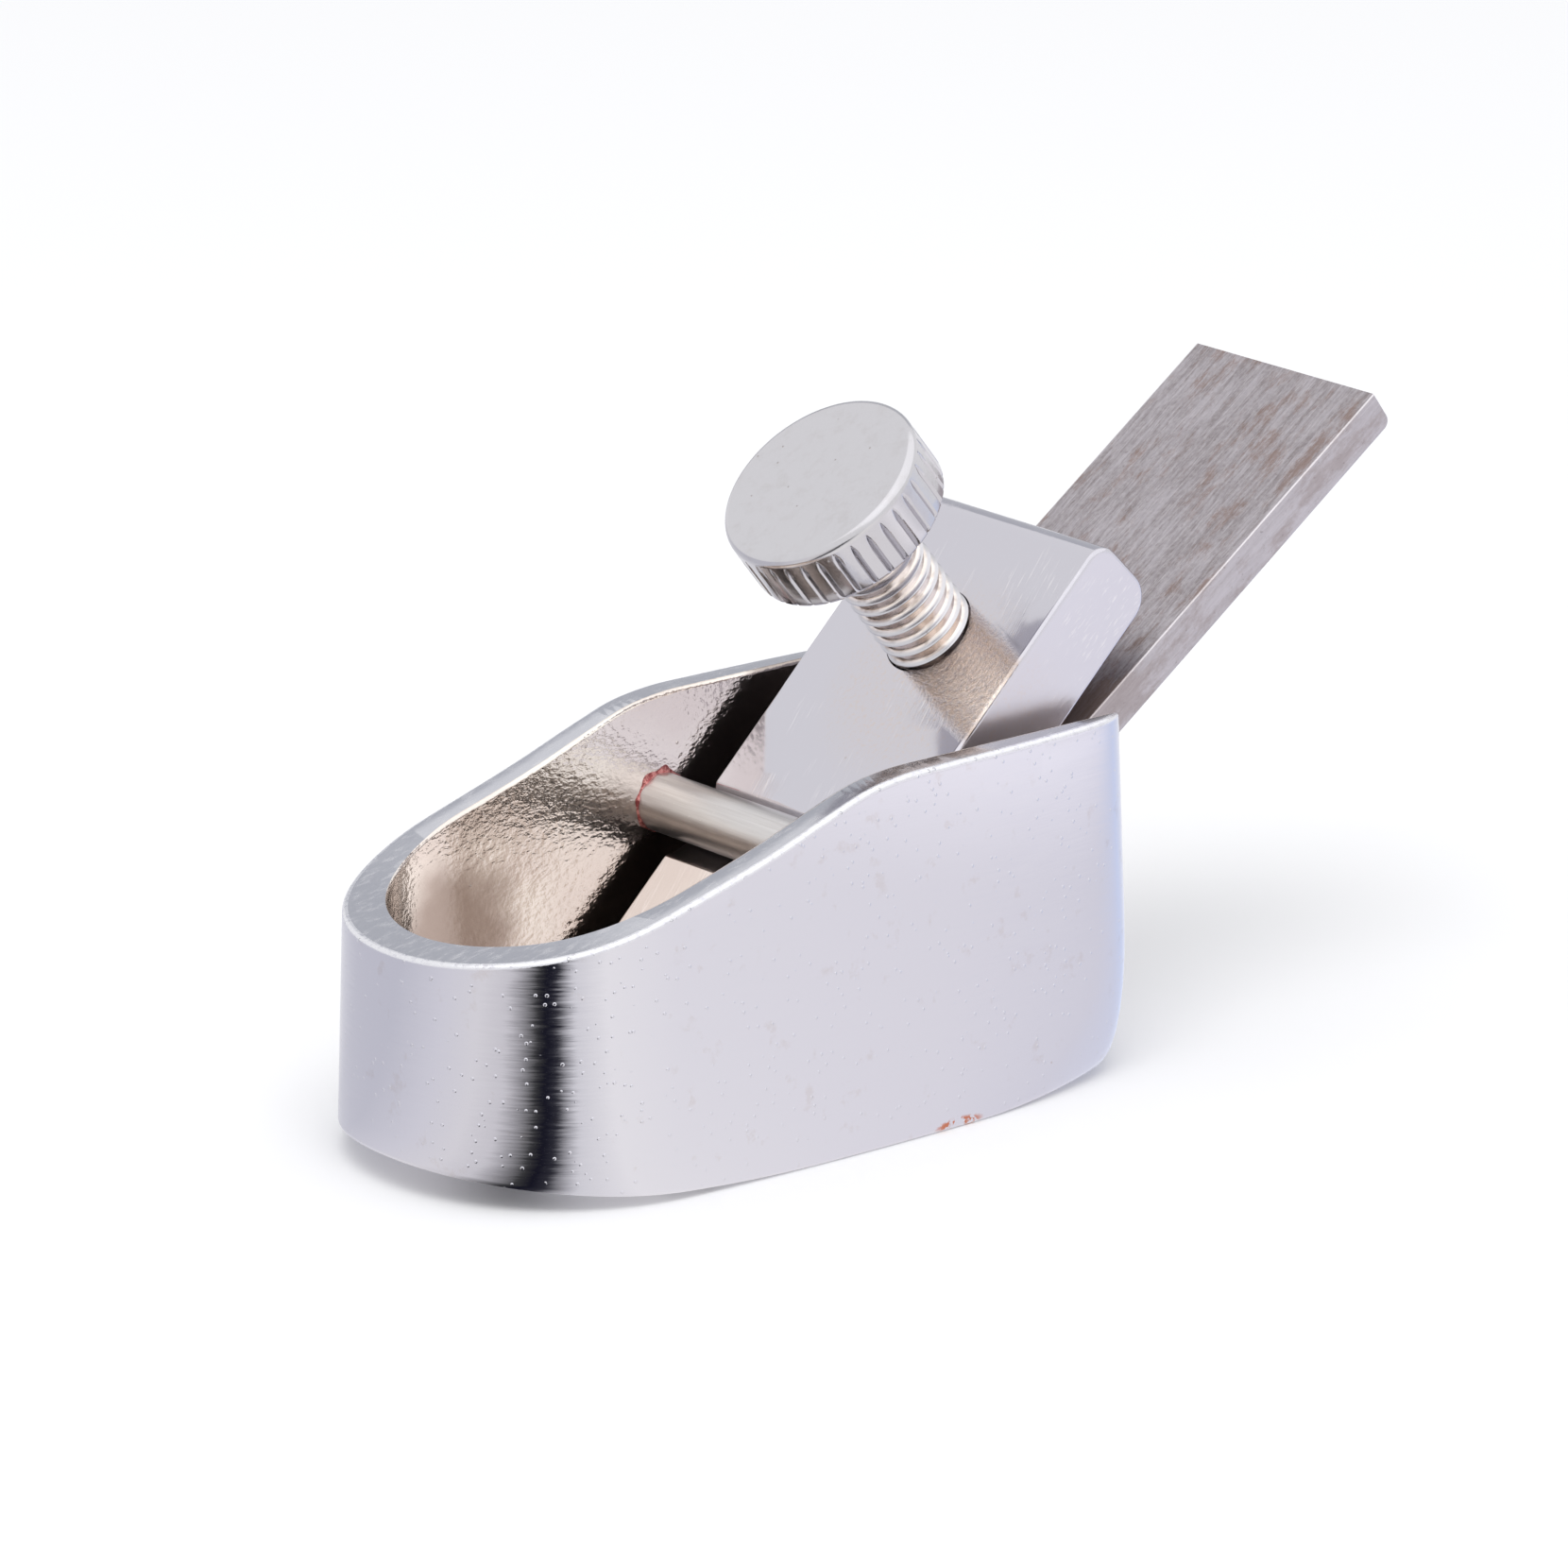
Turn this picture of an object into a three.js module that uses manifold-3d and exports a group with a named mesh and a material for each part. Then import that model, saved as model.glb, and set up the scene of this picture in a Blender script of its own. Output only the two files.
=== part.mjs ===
// A small all-metal finger plane, the kind an instrument maker uses to hollow and trim thin wood.
// A plated, boat-shaped body holds a steel cutting iron on an inclined bed. A lever cap rocks under
// a cross pin, and a thumbscrew through its upper end wedges it against the iron.
// Millimetres. X runs from the toe (-X) to the heel (+X), Y across the body, Z up.
// The origin is on the flat land of the sole, about half way along the body.
import * as THREE from "three";
import { mergeVertices } from "three/addons/utils/BufferGeometryUtils.js";
import Module from "manifold-3d";

const wasm = await Module();
wasm.setup();

// Body: outline in plan
const TOE_REACH = 19.75; // from the origin to the toe
const HEEL_REACH = 18.6; // and to the heel
const BODY_WIDTH = 19.8;
const SIDE_BOW = 1.0; // how much each long side would have drawn in at the toe
const TOE_ROUND_LENGTH = 9.2;
const TOE_FULLNESS = 2.15; // exponent of the toe's curve: 2 is an ellipse, more is squarer
const HEEL_ARC_RADIUS = 14;
const HEEL_CORNER_SHARPNESS = 14; // exponent that joins the heel's arc to the long sides
const SIDE_DRAFT_DEG = 2.9; // the long sides lean in as they rise
const END_DRAFT_DEG = 1.3; // and so do the toe and the heel

// Body: side view
const HEEL_RIM_HEIGHT = 16.5;
const RIM_LENGTH_SHARES = [0, 0.126, 0.256, 0.385, 0.463, 0.515, 0.567, 0.64, 1];
const RIM_HEIGHT_SHARES = [0.65, 0.703, 0.787, 0.877, 0.941, 0.98, 0.997, 1, 1];
const RIM_ROUND = 0.4;
const INNER_RIM_CHAMFER = 0.2;
const SOLE_LAND_FRONT = 3; // the flat land reaches this far ahead of the origin
const SOLE_LAND_REAR = 5; // and this far behind it
const SOLE_TOE_RADIUS = 104; // the sole sweeps up like a rocker ahead of the land
const SOLE_HEEL_RADIUS = 100; // and behind it
const SOLE_EDGE_ROUND = 0.25;
const HEEL_TURN_DEPTH = 1.45; // the lower corner of the heel is rounded this far in
const HEEL_TURN_HEIGHT = 7; // and this far up
const HEEL_TURN_LENGTH = 12; // the rounding fades out this far ahead of the heel

// Body: pocket, bed and mouth
const RIM_WALL = 1.47;
const TOE_WALL = 1.65;
const POCKET_DRAFT_DEG = 1;
const POCKET_FILLET = 0.8;
const FLOOR_HEIGHT = 2.4;
const MOUTH_GAP = 0.9; // opening ahead of the cutting edge, along the sole
const MOUTH_LEAN_DEG = 22; // the front lip of the mouth leans forward as it rises
const MOUTH_SIDE_GAP = 0.25;

// Iron
const IRON_PITCH_DEG = 35.4;
const IRON_EDGE_AHEAD = 6.85; // the iron's face meets the sole plane this far ahead of the origin
const IRON_LENGTH = 48;
const IRON_THICKNESS = 1.82;
const IRON_BEVEL_DEG = 25;
const IRON_BACK_ROUND = 0.45; // the upper end is rounded off towards the back
const EDGE_SETBACK = 0.15; // at rest the edge is drawn up out of the sole by this much
const IRON_SEAT_GAP = 0.1;
const IRON_SIDE_GAP = 1.59; // between the iron and each wall of the pocket

// Lever cap
const CAP_PITCH_DEG = 44;
const CAP_PLANE_AHEAD = 9; // its face, carried on, meets the sole plane this far ahead of the origin
const CAP_TOP = 34.6; // measured up the slope from that line, as the next places are
const CAP_NOSE = 4.3;
const CAP_TAPER_START = 24;
const SCREW_PLACE = 27.85;
const PIN_PLACE = 15.7;
const CAP_OVERHANG = 0.2; // the cap stands out past each side of the iron
const CAP_THICKNESS = 4.3;
const CAP_CHAMFER = 0.22;
const CAP_FRONT_ROUND = 1.1; // upper end, towards the knob
const CAP_BACK_ROUND = 1.35; // upper end, towards the iron
const NOSE_GAP = 0.12; // between the nose of the cap and the iron
const NOSE_ROUND = 0.5;

// Cross pin and its groove in the cap
const PIN_DIAMETER = 2.7;
const PIN_ABOVE_FACE = 0.77; // height of the pin's axis above the face of the cap
const PIN_SEAT_DEPTH = 1.1; // how far each end is let into its wall
const PIN_SEAT_GAP = 0.1;
const PIN_END_CHAMFER = 0.2;
const GROOVE_GAP = 0.13;
const GROOVE_RADIUS = 3.25;
const GROOVE_LIP = 0.3;

// Thumbscrew
const SCREW_LEAN_DEG = 5.4; // its hole is drilled leaning from square towards the cap's upper end
const SHANK_DIAMETER = 4.3;
const SHANK_SHOWING = 7.25; // from the face of the cap to the underside of the head
const SCREW_HOLE_GAP = 0.12;
const SCREW_TIP_GAP = 0.12;
const SCREW_TIP_CHAMFER = 0.45;
const SPIGOT_DIAMETER = 2.6; // the shank steps down here to enter the head
const SPIGOT_LENGTH = 1.4;
const HEAD_SEAT_GAP = 0.08;
const HEAD_DIAMETER = 9.55;
const HEAD_HEIGHT = 3.1;
const HEAD_TOP_CHAMFER = 0.25;
const HEAD_LOWER_CHAMFER = 0.25;
const KNURL_COUNT = 36;
const KNURL_WIDTH = 0.3;
const KNURL_DEPTH = 0.22;

// Fineness of the round forms, and one overrun for every cut
const BODY_STATIONS = 64; // along each side
const ROUND_STEPS = 4;
const PIN_SIDES = 48;
const HOLE_SIDES = 48;
const CUT_OVERRUN = 3;
const SAME_POINT = 0.0001; // points closer than this are one point

const radians = THREE.MathUtils.degToRad;
const lerp = THREE.MathUtils.lerp;

// Solids

function solidOf(geometry) {
  geometry.deleteAttribute("normal");
  geometry.deleteAttribute("uv");
  const merged = mergeVertices(geometry, SAME_POINT);
  return new wasm.Manifold(
    new wasm.Mesh({
      numProp: 3,
      vertProperties: new Float32Array(merged.attributes.position.array),
      triVerts: new Uint32Array(merged.index.array),
    }),
  );
}

function pieceOf(name, solid, material) {
  const mesh = solid.getMesh();
  const geometry = new THREE.BufferGeometry();
  geometry.setAttribute("position", new THREE.BufferAttribute(mesh.vertProperties, 3));
  geometry.setIndex(new THREE.BufferAttribute(mesh.triVerts, 1));
  geometry.computeVertexNormals();
  const piece = new THREE.Mesh(geometry, material);
  piece.name = name;
  return piece;
}

// A shape drawn in side view (X along, Y up) made into a block of the given width across Y.
function acrossBody(shape, width, chamfer = 0) {
  const geometry = new THREE.ExtrudeGeometry(shape, {
    depth: width - 2 * chamfer,
    bevelEnabled: chamfer > 0,
    bevelThickness: chamfer,
    bevelSize: chamfer,
    bevelOffset: -chamfer,
    bevelSegments: 1,
    curveSegments: ROUND_STEPS * 2,
  });
  geometry.translate(0, 0, chamfer - width / 2);
  geometry.rotateX(Math.PI / 2);
  return solidOf(geometry);
}

// Closed rings of points, lowest first, skinned into one solid. Each ring starts at the toe, runs
// down the near side to the heel and back up the far side, so its two sides pair off across Y.
function skinned(rings) {
  const count = rings[0].length;
  const half = count / 2;
  const positions = rings.flat().flatMap((point) => [point.x, point.y, point.z]);
  const triangles = [];
  const quad = (a, b, c, d) => triangles.push(a, b, c, a, c, d);
  for (let level = 0; level + 1 < rings.length; level += 1) {
    for (let i = 0; i < count; i += 1) {
      const next = (i + 1) % count;
      const low = level * count;
      quad(low + i, low + next, low + count + next, low + count + i);
    }
  }
  const topStart = (rings.length - 1) * count;
  for (const [start, up] of [
    [0, false],
    [topStart, true],
  ]) {
    for (let i = 0; i < half; i += 1) {
      const near = [start + i, start + i + 1];
      const far = [start + ((count - i) % count), start + count - i - 1];
      const corners = up ? [near[0], near[1], far[1], far[0]] : [near[0], far[0], far[1], near[1]];
      const distinct = corners.filter((corner, k) => corners.indexOf(corner) === k);
      if (distinct.length === 4) quad(...distinct);
      else triangles.push(...distinct);
    }
  }
  const geometry = new THREE.BufferGeometry();
  geometry.setAttribute("position", new THREE.Float32BufferAttribute(positions, 3));
  geometry.setIndex(triangles);
  return solidOf(geometry);
}

// Turned part: radius and height pairs, revolved about Z.
function turned(profile, sides) {
  const points = profile.map(([radius, height]) => new THREE.Vector2(radius, height));
  const geometry = new THREE.LatheGeometry(points, sides);
  geometry.rotateX(Math.PI / 2);
  return solidOf(geometry);
}

function placed(solid, matrix) {
  return solid.transform(matrix.elements);
}

// Places on the two sloping planes, all in the middle plane of the body

const ironAngle = radians(IRON_PITCH_DEG);
const ironUp = new THREE.Vector2(Math.cos(ironAngle), Math.sin(ironAngle));
const ironOut = new THREE.Vector2(-Math.sin(ironAngle), Math.cos(ironAngle));
const ironStart = new THREE.Vector2(-IRON_EDGE_AHEAD, 0);

const capAngle = radians(CAP_PITCH_DEG);
const capUp = new THREE.Vector2(Math.cos(capAngle), Math.sin(capAngle));
const capOut = new THREE.Vector2(-Math.sin(capAngle), Math.cos(capAngle));
const capStart = new THREE.Vector2(-CAP_PLANE_AHEAD, 0);

// A point so far up a slope and so far out from its face.
function onIron(up, out) {
  return ironStart.clone().addScaledVector(ironUp, up).addScaledVector(ironOut, out);
}

function onCap(up, out) {
  return capStart.clone().addScaledVector(capUp, up).addScaledVector(capOut, out);
}

const bedDrop = IRON_THICKNESS + IRON_SEAT_GAP;

// Depth from the face of the cap, square to it, at which the face of the iron lies.
function depthToIron(up) {
  const height = onCap(up, 0).sub(ironStart).dot(ironOut);
  return height / capOut.dot(ironOut);
}

// Body

const toeX = -TOE_REACH;
const heelX = HEEL_REACH;
const bodyLength = TOE_REACH + HEEL_REACH;
const sideLean = Math.tan(radians(SIDE_DRAFT_DEG));
const endLean = Math.tan(radians(END_DRAFT_DEG));

// Half the width at sole level: bowed sides, a rounded toe, and a heel that is an arc with corners.
function halfWidthAt(x) {
  const along = x / TOE_REACH;
  const side = BODY_WIDTH / 2 - SIDE_BOW * along * along;
  const intoToe = Math.max(0, (toeX + TOE_ROUND_LENGTH - x) / TOE_ROUND_LENGTH);
  const toeEnd = Math.pow(Math.max(0, 1 - Math.pow(intoToe, TOE_FULLNESS)), 1 / TOE_FULLNESS);
  const intoHeel = Math.max(0, x - heelX + HEEL_ARC_RADIUS);
  const heelArc = Math.sqrt(Math.max(0, HEEL_ARC_RADIUS * HEEL_ARC_RADIUS - intoHeel * intoHeel));
  return toeEnd * softMinimum(side, heelArc, HEEL_CORNER_SHARPNESS);
}

// The smaller of two lengths, with a rounded change from one to the other.
function softMinimum(a, b, sharpness) {
  return (a * b) / Math.pow(Math.pow(a, sharpness) + Math.pow(b, sharpness), 1 / sharpness);
}

const rimCurve = new THREE.CatmullRomCurve3(
  RIM_LENGTH_SHARES.map(
    (share, i) =>
      new THREE.Vector3(toeX + share * bodyLength, 0, RIM_HEIGHT_SHARES[i] * HEEL_RIM_HEIGHT),
  ),
);
const rimPoints = rimCurve.getPoints(BODY_STATIONS * ROUND_STEPS);

// Height of the rim in side view at a place along the body.
function rimHeightAt(x) {
  const after = rimPoints.findIndex((point) => point.x > x);
  if (after < 1) return x < heelX ? rimPoints[0].z : HEEL_RIM_HEIGHT;
  const [low, high] = [rimPoints[after - 1], rimPoints[after]];
  return lerp(low.z, high.z, (x - low.x) / (high.x - low.x));
}

function soleHeightAt(x) {
  if (x < -SOLE_LAND_FRONT) return arcRise(-SOLE_LAND_FRONT - x, SOLE_TOE_RADIUS);
  if (x > SOLE_LAND_REAR) return arcRise(x - SOLE_LAND_REAR, SOLE_HEEL_RADIUS);
  return 0;
}

function arcRise(run, radius) {
  return radius - Math.sqrt(radius * radius - run * run);
}

// Outline points at sole level with their outward direction, toe first, near side, then far side.
function planOutline() {
  const near = [];
  for (let i = 0; i <= BODY_STATIONS; i += 1) {
    const x = lerp(toeX, heelX, (1 - Math.cos((Math.PI * i) / BODY_STATIONS)) / 2);
    near.push(new THREE.Vector2(x, -halfWidthAt(x)));
  }
  const far = near.slice(1, -1).reverse();
  const points = [...near, ...far.map((point) => new THREE.Vector2(point.x, -point.y))];
  return points.map((point, i) => {
    const before = points[(i + points.length - 1) % points.length];
    const after = points[(i + 1) % points.length];
    const along = after.clone().sub(before).normalize();
    return { point, outward: new THREE.Vector2(along.y, -along.x) };
  });
}

// How far the lower edge is rounded in and up at a place along the body: little at the toe and
// sides, much more round the heel.
function lowerEdgeAt(x) {
  const into = THREE.MathUtils.smoothstep(x, heelX - HEEL_TURN_LENGTH, heelX);
  return {
    depth: lerp(SOLE_EDGE_ROUND, HEEL_TURN_DEPTH, into),
    height: lerp(SOLE_EDGE_ROUND, HEEL_TURN_HEIGHT, into),
  };
}

function hull() {
  const outline = planOutline();
  const ringAt = (insetAt, heightAt) =>
    outline.map(({ point, outward }) => {
      const height = heightAt(point.x);
      const inset = insetAt(point.x);
      return new THREE.Vector3(
        point.x - outward.x * (inset + height * endLean),
        point.y - outward.y * (inset + height * sideLean),
        height,
      );
    });
  const rings = [];
  for (let i = 0; i <= ROUND_STEPS; i += 1) {
    const turn = (Math.PI / 2) * (i / ROUND_STEPS);
    rings.push(
      ringAt(
        (x) => lowerEdgeAt(x).depth * (1 - Math.sin(turn)),
        (x) => soleHeightAt(x) + lowerEdgeAt(x).height * (1 - Math.cos(turn)),
      ),
    );
  }
  for (let i = 0; i <= ROUND_STEPS; i += 1) {
    const turn = (Math.PI / 2) * (i / ROUND_STEPS);
    rings.push(
      ringAt(
        () => RIM_ROUND * (1 - Math.cos(turn)),
        (x) => rimHeightAt(x) - RIM_ROUND * (1 - Math.sin(turn)),
      ),
    );
  }
  return skinned(rings);
}

const pocketHalfWidth = BODY_WIDTH / 2 - HEEL_RIM_HEIGHT * sideLean - RIM_WALL;
const ironWidth = 2 * (pocketHalfWidth - IRON_SIDE_GAP);
const capWidth = ironWidth + 2 * CAP_OVERHANG;
const pocketToeX = toeX + HEEL_RIM_HEIGHT * endLean + TOE_WALL;

// The pocket is U-shaped in plan: a round end behind the toe, then straight sides that run out
// past the heel. Its walls spread as they rise and it has a small chamfer at the rim.
function pocket() {
  const roundLength = TOE_ROUND_LENGTH - TOE_WALL / 2;
  const lean = Math.tan(radians(POCKET_DRAFT_DEG));
  const endX = heelX + CUT_OVERRUN;
  const top = HEEL_RIM_HEIGHT + CUT_OVERRUN;
  const outlineAt = (inset) => {
    const near = [];
    const steps = BODY_STATIONS / 2;
    for (let i = 0; i <= steps; i += 1) {
      const turn = (Math.PI / 2) * (i / steps);
      const x = pocketToeX + inset + (roundLength - inset) * (1 - Math.cos(turn));
      near.push(new THREE.Vector2(x, -(pocketHalfWidth - inset) * Math.sin(turn)));
    }
    const straight = endX - pocketToeX - roundLength;
    for (let i = 1; i <= steps; i += 1) {
      const x = pocketToeX + roundLength + (straight * i) / steps;
      near.push(new THREE.Vector2(x, -(pocketHalfWidth - inset)));
    }
    const end = new THREE.Vector2(endX, 0);
    const far = near.slice(1).reverse();
    return [...near, end, ...far.map((point) => new THREE.Vector2(point.x, -point.y))];
  };
  const ringAt = (insetAt, heightAt) => {
    const base = outlineAt(0);
    return base.map((point, i) => {
      const height = heightAt(point.x);
      const inset = insetAt(height);
      const moved = outlineAt(inset)[i];
      return new THREE.Vector3(moved.x, moved.y, height);
    });
  };
  const leanIn = (height) => (HEEL_RIM_HEIGHT - height) * lean;
  const rings = [];
  for (let i = 0; i <= ROUND_STEPS; i += 1) {
    const turn = (Math.PI / 2) * (i / ROUND_STEPS);
    rings.push(
      ringAt(
        (height) => leanIn(height) + POCKET_FILLET * (1 - Math.sin(turn)),
        () => FLOOR_HEIGHT + POCKET_FILLET * (1 - Math.cos(turn)),
      ),
    );
  }
  rings.push(ringAt(leanIn, (x) => rimHeightAt(x) - INNER_RIM_CHAMFER));
  rings.push(ringAt((height) => leanIn(height) - INNER_RIM_CHAMFER, rimHeightAt));
  rings.push(ringAt(() => -INNER_RIM_CHAMFER, () => top));
  return skinned(rings);
}

// Side view of everything above the bed: what the pocket may take away.
function aboveBed() {
  const low = onIron(0, -bedDrop).addScaledVector(ironUp, -bodyLength / 2);
  const high = onIron(IRON_LENGTH, -bedDrop);
  const top = high.y + CUT_OVERRUN;
  const shape = new THREE.Shape([
    new THREE.Vector2(low.x, low.y),
    new THREE.Vector2(high.x, high.y),
    new THREE.Vector2(high.x, top),
    new THREE.Vector2(toeX - CUT_OVERRUN, top),
    new THREE.Vector2(toeX - CUT_OVERRUN, low.y),
  ]);
  return acrossBody(shape, BODY_WIDTH + 2 * CUT_OVERRUN);
}

// The mouth: a slot through the floor that the iron and the nose of the cap reach into. Its rear
// face carries on the bed, and its front lip leans away, so the two would meet below the sole.
function mouth() {
  const top = FLOOR_HEIGHT + CUT_OVERRUN;
  const lipLean = Math.tan(radians(MOUTH_LEAN_DEG));
  const bedLean = 1 / Math.tan(ironAngle);
  const bedX = -IRON_EDGE_AHEAD + bedDrop / Math.sin(ironAngle);
  const lipX = -IRON_EDGE_AHEAD - MOUTH_GAP;
  const meeting = (lipX - bedX) / (bedLean + lipLean);
  const shape = new THREE.Shape([
    new THREE.Vector2(bedX + meeting * bedLean, meeting),
    new THREE.Vector2(bedX + top * bedLean, top),
    new THREE.Vector2(lipX - top * lipLean, top),
  ]);
  return acrossBody(shape, capWidth + 2 * MOUTH_SIDE_GAP);
}

const pinCentre = onCap(PIN_PLACE, PIN_ABOVE_FACE);
const pinHalfLength = pocketHalfWidth + PIN_SEAT_DEPTH;

// A round bar across the body at the pin's place, larger than the pin by the clearance given.
function pinBar(clearance) {
  const radius = PIN_DIAMETER / 2 + clearance;
  const halfLength = pinHalfLength + clearance;
  const profile = [
    [0, -halfLength],
    [radius - PIN_END_CHAMFER, -halfLength],
    [radius, PIN_END_CHAMFER - halfLength],
    [radius, halfLength - PIN_END_CHAMFER],
    [radius - PIN_END_CHAMFER, halfLength],
    [0, halfLength],
  ];
  const turn = new THREE.Matrix4().makeRotationX(Math.PI / 2);
  return placed(turned(profile, PIN_SIDES), turn.setPosition(pinCentre.x, 0, pinCentre.y));
}

function planeBody() {
  const hollow = pocket().intersect(aboveBed());
  return hull().subtract(hollow).subtract(mouth()).subtract(pinBar(PIN_SEAT_GAP));
}

function crossPin() {
  return pinBar(0);
}

// Iron: flat face forward, bevel behind, upper end rounded off towards the back.
function iron() {
  const edge = EDGE_SETBACK;
  const bevelRun = IRON_THICKNESS / Math.tan(radians(IRON_BEVEL_DEG));
  const shape = new THREE.Shape();
  const to = (up, out) => onIron(up, out).toArray();
  shape.moveTo(...to(edge, 0));
  shape.lineTo(...to(edge + bevelRun, -IRON_THICKNESS));
  shape.lineTo(...to(IRON_LENGTH - IRON_BACK_ROUND, -IRON_THICKNESS));
  shape.quadraticCurveTo(
    ...to(IRON_LENGTH, -IRON_THICKNESS),
    ...to(IRON_LENGTH, IRON_BACK_ROUND - IRON_THICKNESS),
  );
  shape.lineTo(...to(IRON_LENGTH, 0));
  return acrossBody(shape, ironWidth);
}

// Lever cap, drawn in its own side view: U up the slope, V out from its face.
function leverCapOutline() {
  const noseDepth = depthToIron(CAP_NOSE) - NOSE_GAP;
  const grooveDepth = PIN_DIAMETER / 2 + GROOVE_GAP - PIN_ABOVE_FACE;
  const grooveCentre = GROOVE_RADIUS - grooveDepth;
  const lipReach = Math.sqrt((GROOVE_RADIUS + GROOVE_LIP) ** 2 - (grooveCentre + GROOVE_LIP) ** 2);
  const lipAngle = Math.atan2(grooveCentre + GROOVE_LIP, lipReach);
  const right = Math.PI / 2;
  const grooveStart = Math.PI + lipAngle;
  const grooveEnd = 2 * Math.PI - lipAngle;
  const backRoundCentre = CAP_BACK_ROUND - CAP_THICKNESS;
  return [
    ...arc(PIN_PLACE - lipReach, -GROOVE_LIP, GROOVE_LIP, right, lipAngle, ROUND_STEPS / 2),
    ...arc(PIN_PLACE, grooveCentre, GROOVE_RADIUS, grooveStart, grooveEnd, ROUND_STEPS * 3),
    ...arc(PIN_PLACE + lipReach, -GROOVE_LIP, GROOVE_LIP, Math.PI - lipAngle, right, ROUND_STEPS / 2),
    ...arc(CAP_TOP - CAP_FRONT_ROUND, -CAP_FRONT_ROUND, CAP_FRONT_ROUND, right, 0, ROUND_STEPS),
    ...arc(CAP_TOP - CAP_BACK_ROUND, backRoundCentre, CAP_BACK_ROUND, 0, -right, ROUND_STEPS),
    new THREE.Vector2(CAP_TAPER_START, -CAP_THICKNESS),
    new THREE.Vector2(CAP_NOSE, -noseDepth),
    ...arc(CAP_NOSE + NOSE_ROUND, -NOSE_ROUND, NOSE_ROUND, Math.PI, right, ROUND_STEPS / 2),
  ];
}

// Points along an arc, both ends included, turning from one angle to the other.
function arc(centreX, centreY, radius, from, to, steps) {
  return Array.from({ length: steps + 1 }, (_, i) => {
    const angle = lerp(from, to, i / steps);
    return new THREE.Vector2(centreX + radius * Math.cos(angle), centreY + radius * Math.sin(angle));
  });
}

function leverCap() {
  const outline = leverCapOutline();
  const distinct = outline.filter((point, i) => {
    const before = outline[(i + outline.length - 1) % outline.length];
    return point.distanceTo(before) > SAME_POINT;
  });
  const shape = new THREE.Shape(distinct.map((point) => onCap(point.x, point.y)));
  const bar = acrossBody(shape, capWidth, CAP_CHAMFER);
  const hole = turned(
    [
      [0, -CAP_THICKNESS - CUT_OVERRUN],
      [SHANK_DIAMETER / 2 + SCREW_HOLE_GAP, -CAP_THICKNESS - CUT_OVERRUN],
      [SHANK_DIAMETER / 2 + SCREW_HOLE_GAP, CUT_OVERRUN],
      [0, CUT_OVERRUN],
    ],
    HOLE_SIDES,
  );
  return bar.subtract(placed(hole, screwFrame()));
}

// The thumbscrew's own frame: origin where its axis meets the face of the cap, Z up the axis.
const screwFoot = onCap(SCREW_PLACE, 0);
const screwAngle = capAngle - radians(SCREW_LEAN_DEG);

function screwFrame() {
  const turn = new THREE.Matrix4().makeRotationY(-screwAngle);
  return turn.setPosition(screwFoot.x, 0, screwFoot.y);
}

// How far below the face of the cap the tip of the screw stops, just clear of the iron.
function screwTipDepth() {
  const axis = new THREE.Vector2(-Math.sin(screwAngle), Math.cos(screwAngle));
  const height = screwFoot.clone().sub(ironStart).dot(ironOut) - SCREW_TIP_GAP;
  const tipRadius = SHANK_DIAMETER / 2 - SCREW_TIP_CHAMFER;
  const cosine = axis.dot(ironOut);
  const tilt = Math.sqrt(1 - cosine * cosine);
  return (height - tipRadius * tilt) / cosine;
}

function thumbscrewShank() {
  const radius = SHANK_DIAMETER / 2;
  const tip = -screwTipDepth();
  const shoulder = SHANK_SHOWING - HEAD_SEAT_GAP;
  const end = shoulder + SPIGOT_LENGTH;
  const shank = turned(
    [
      [0, tip],
      [radius - SCREW_TIP_CHAMFER, tip],
      [radius, tip + SCREW_TIP_CHAMFER],
      [radius, shoulder],
      [SPIGOT_DIAMETER / 2, shoulder],
      [SPIGOT_DIAMETER / 2, end],
      [0, end],
    ],
    HOLE_SIDES,
  );
  return placed(shank, screwFrame());
}

// Plan of the head: a circle with narrow straight grooves cut in its edge.
function knurlOutline() {
  const radius = HEAD_DIAMETER / 2;
  const halfGroove = Math.asin(KNURL_WIDTH / HEAD_DIAMETER);
  const step = (2 * Math.PI) / KNURL_COUNT;
  const points = [];
  const at = (angle, reach) =>
    points.push(new THREE.Vector2(reach * Math.cos(angle), reach * Math.sin(angle)));
  for (let i = 0; i < KNURL_COUNT; i += 1) {
    const middle = i * step;
    at(middle - halfGroove, radius);
    at(middle, radius - KNURL_DEPTH);
    at(middle + halfGroove, radius);
    at(middle + step / 2, radius);
  }
  return new THREE.Shape(points);
}

function thumbscrewHead() {
  const radius = HEAD_DIAMETER / 2;
  const low = SHANK_SHOWING;
  const high = SHANK_SHOWING + HEAD_HEIGHT;
  const blank = turned(
    [
      [0, low],
      [radius - HEAD_LOWER_CHAMFER, low],
      [radius, low + HEAD_LOWER_CHAMFER],
      [radius, high - HEAD_TOP_CHAMFER],
      [radius - HEAD_TOP_CHAMFER, high],
      [0, high],
    ],
    KNURL_COUNT * 3,
  );
  const knurled = new THREE.ExtrudeGeometry(knurlOutline(), {
    depth: HEAD_HEIGHT + 2 * CUT_OVERRUN,
    bevelEnabled: false,
  });
  knurled.translate(0, 0, low - CUT_OVERRUN);
  const socketRadius = SPIGOT_DIAMETER / 2 + HEAD_SEAT_GAP;
  const socketTop = SHANK_SHOWING + SPIGOT_LENGTH + HEAD_SEAT_GAP;
  const socket = turned(
    [
      [0, low - CUT_OVERRUN],
      [socketRadius, low - CUT_OVERRUN],
      [socketRadius, socketTop],
      [0, socketTop],
    ],
    HOLE_SIDES,
  );
  return placed(blank.intersect(solidOf(knurled)).subtract(socket), screwFrame());
}

// Finishes

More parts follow.
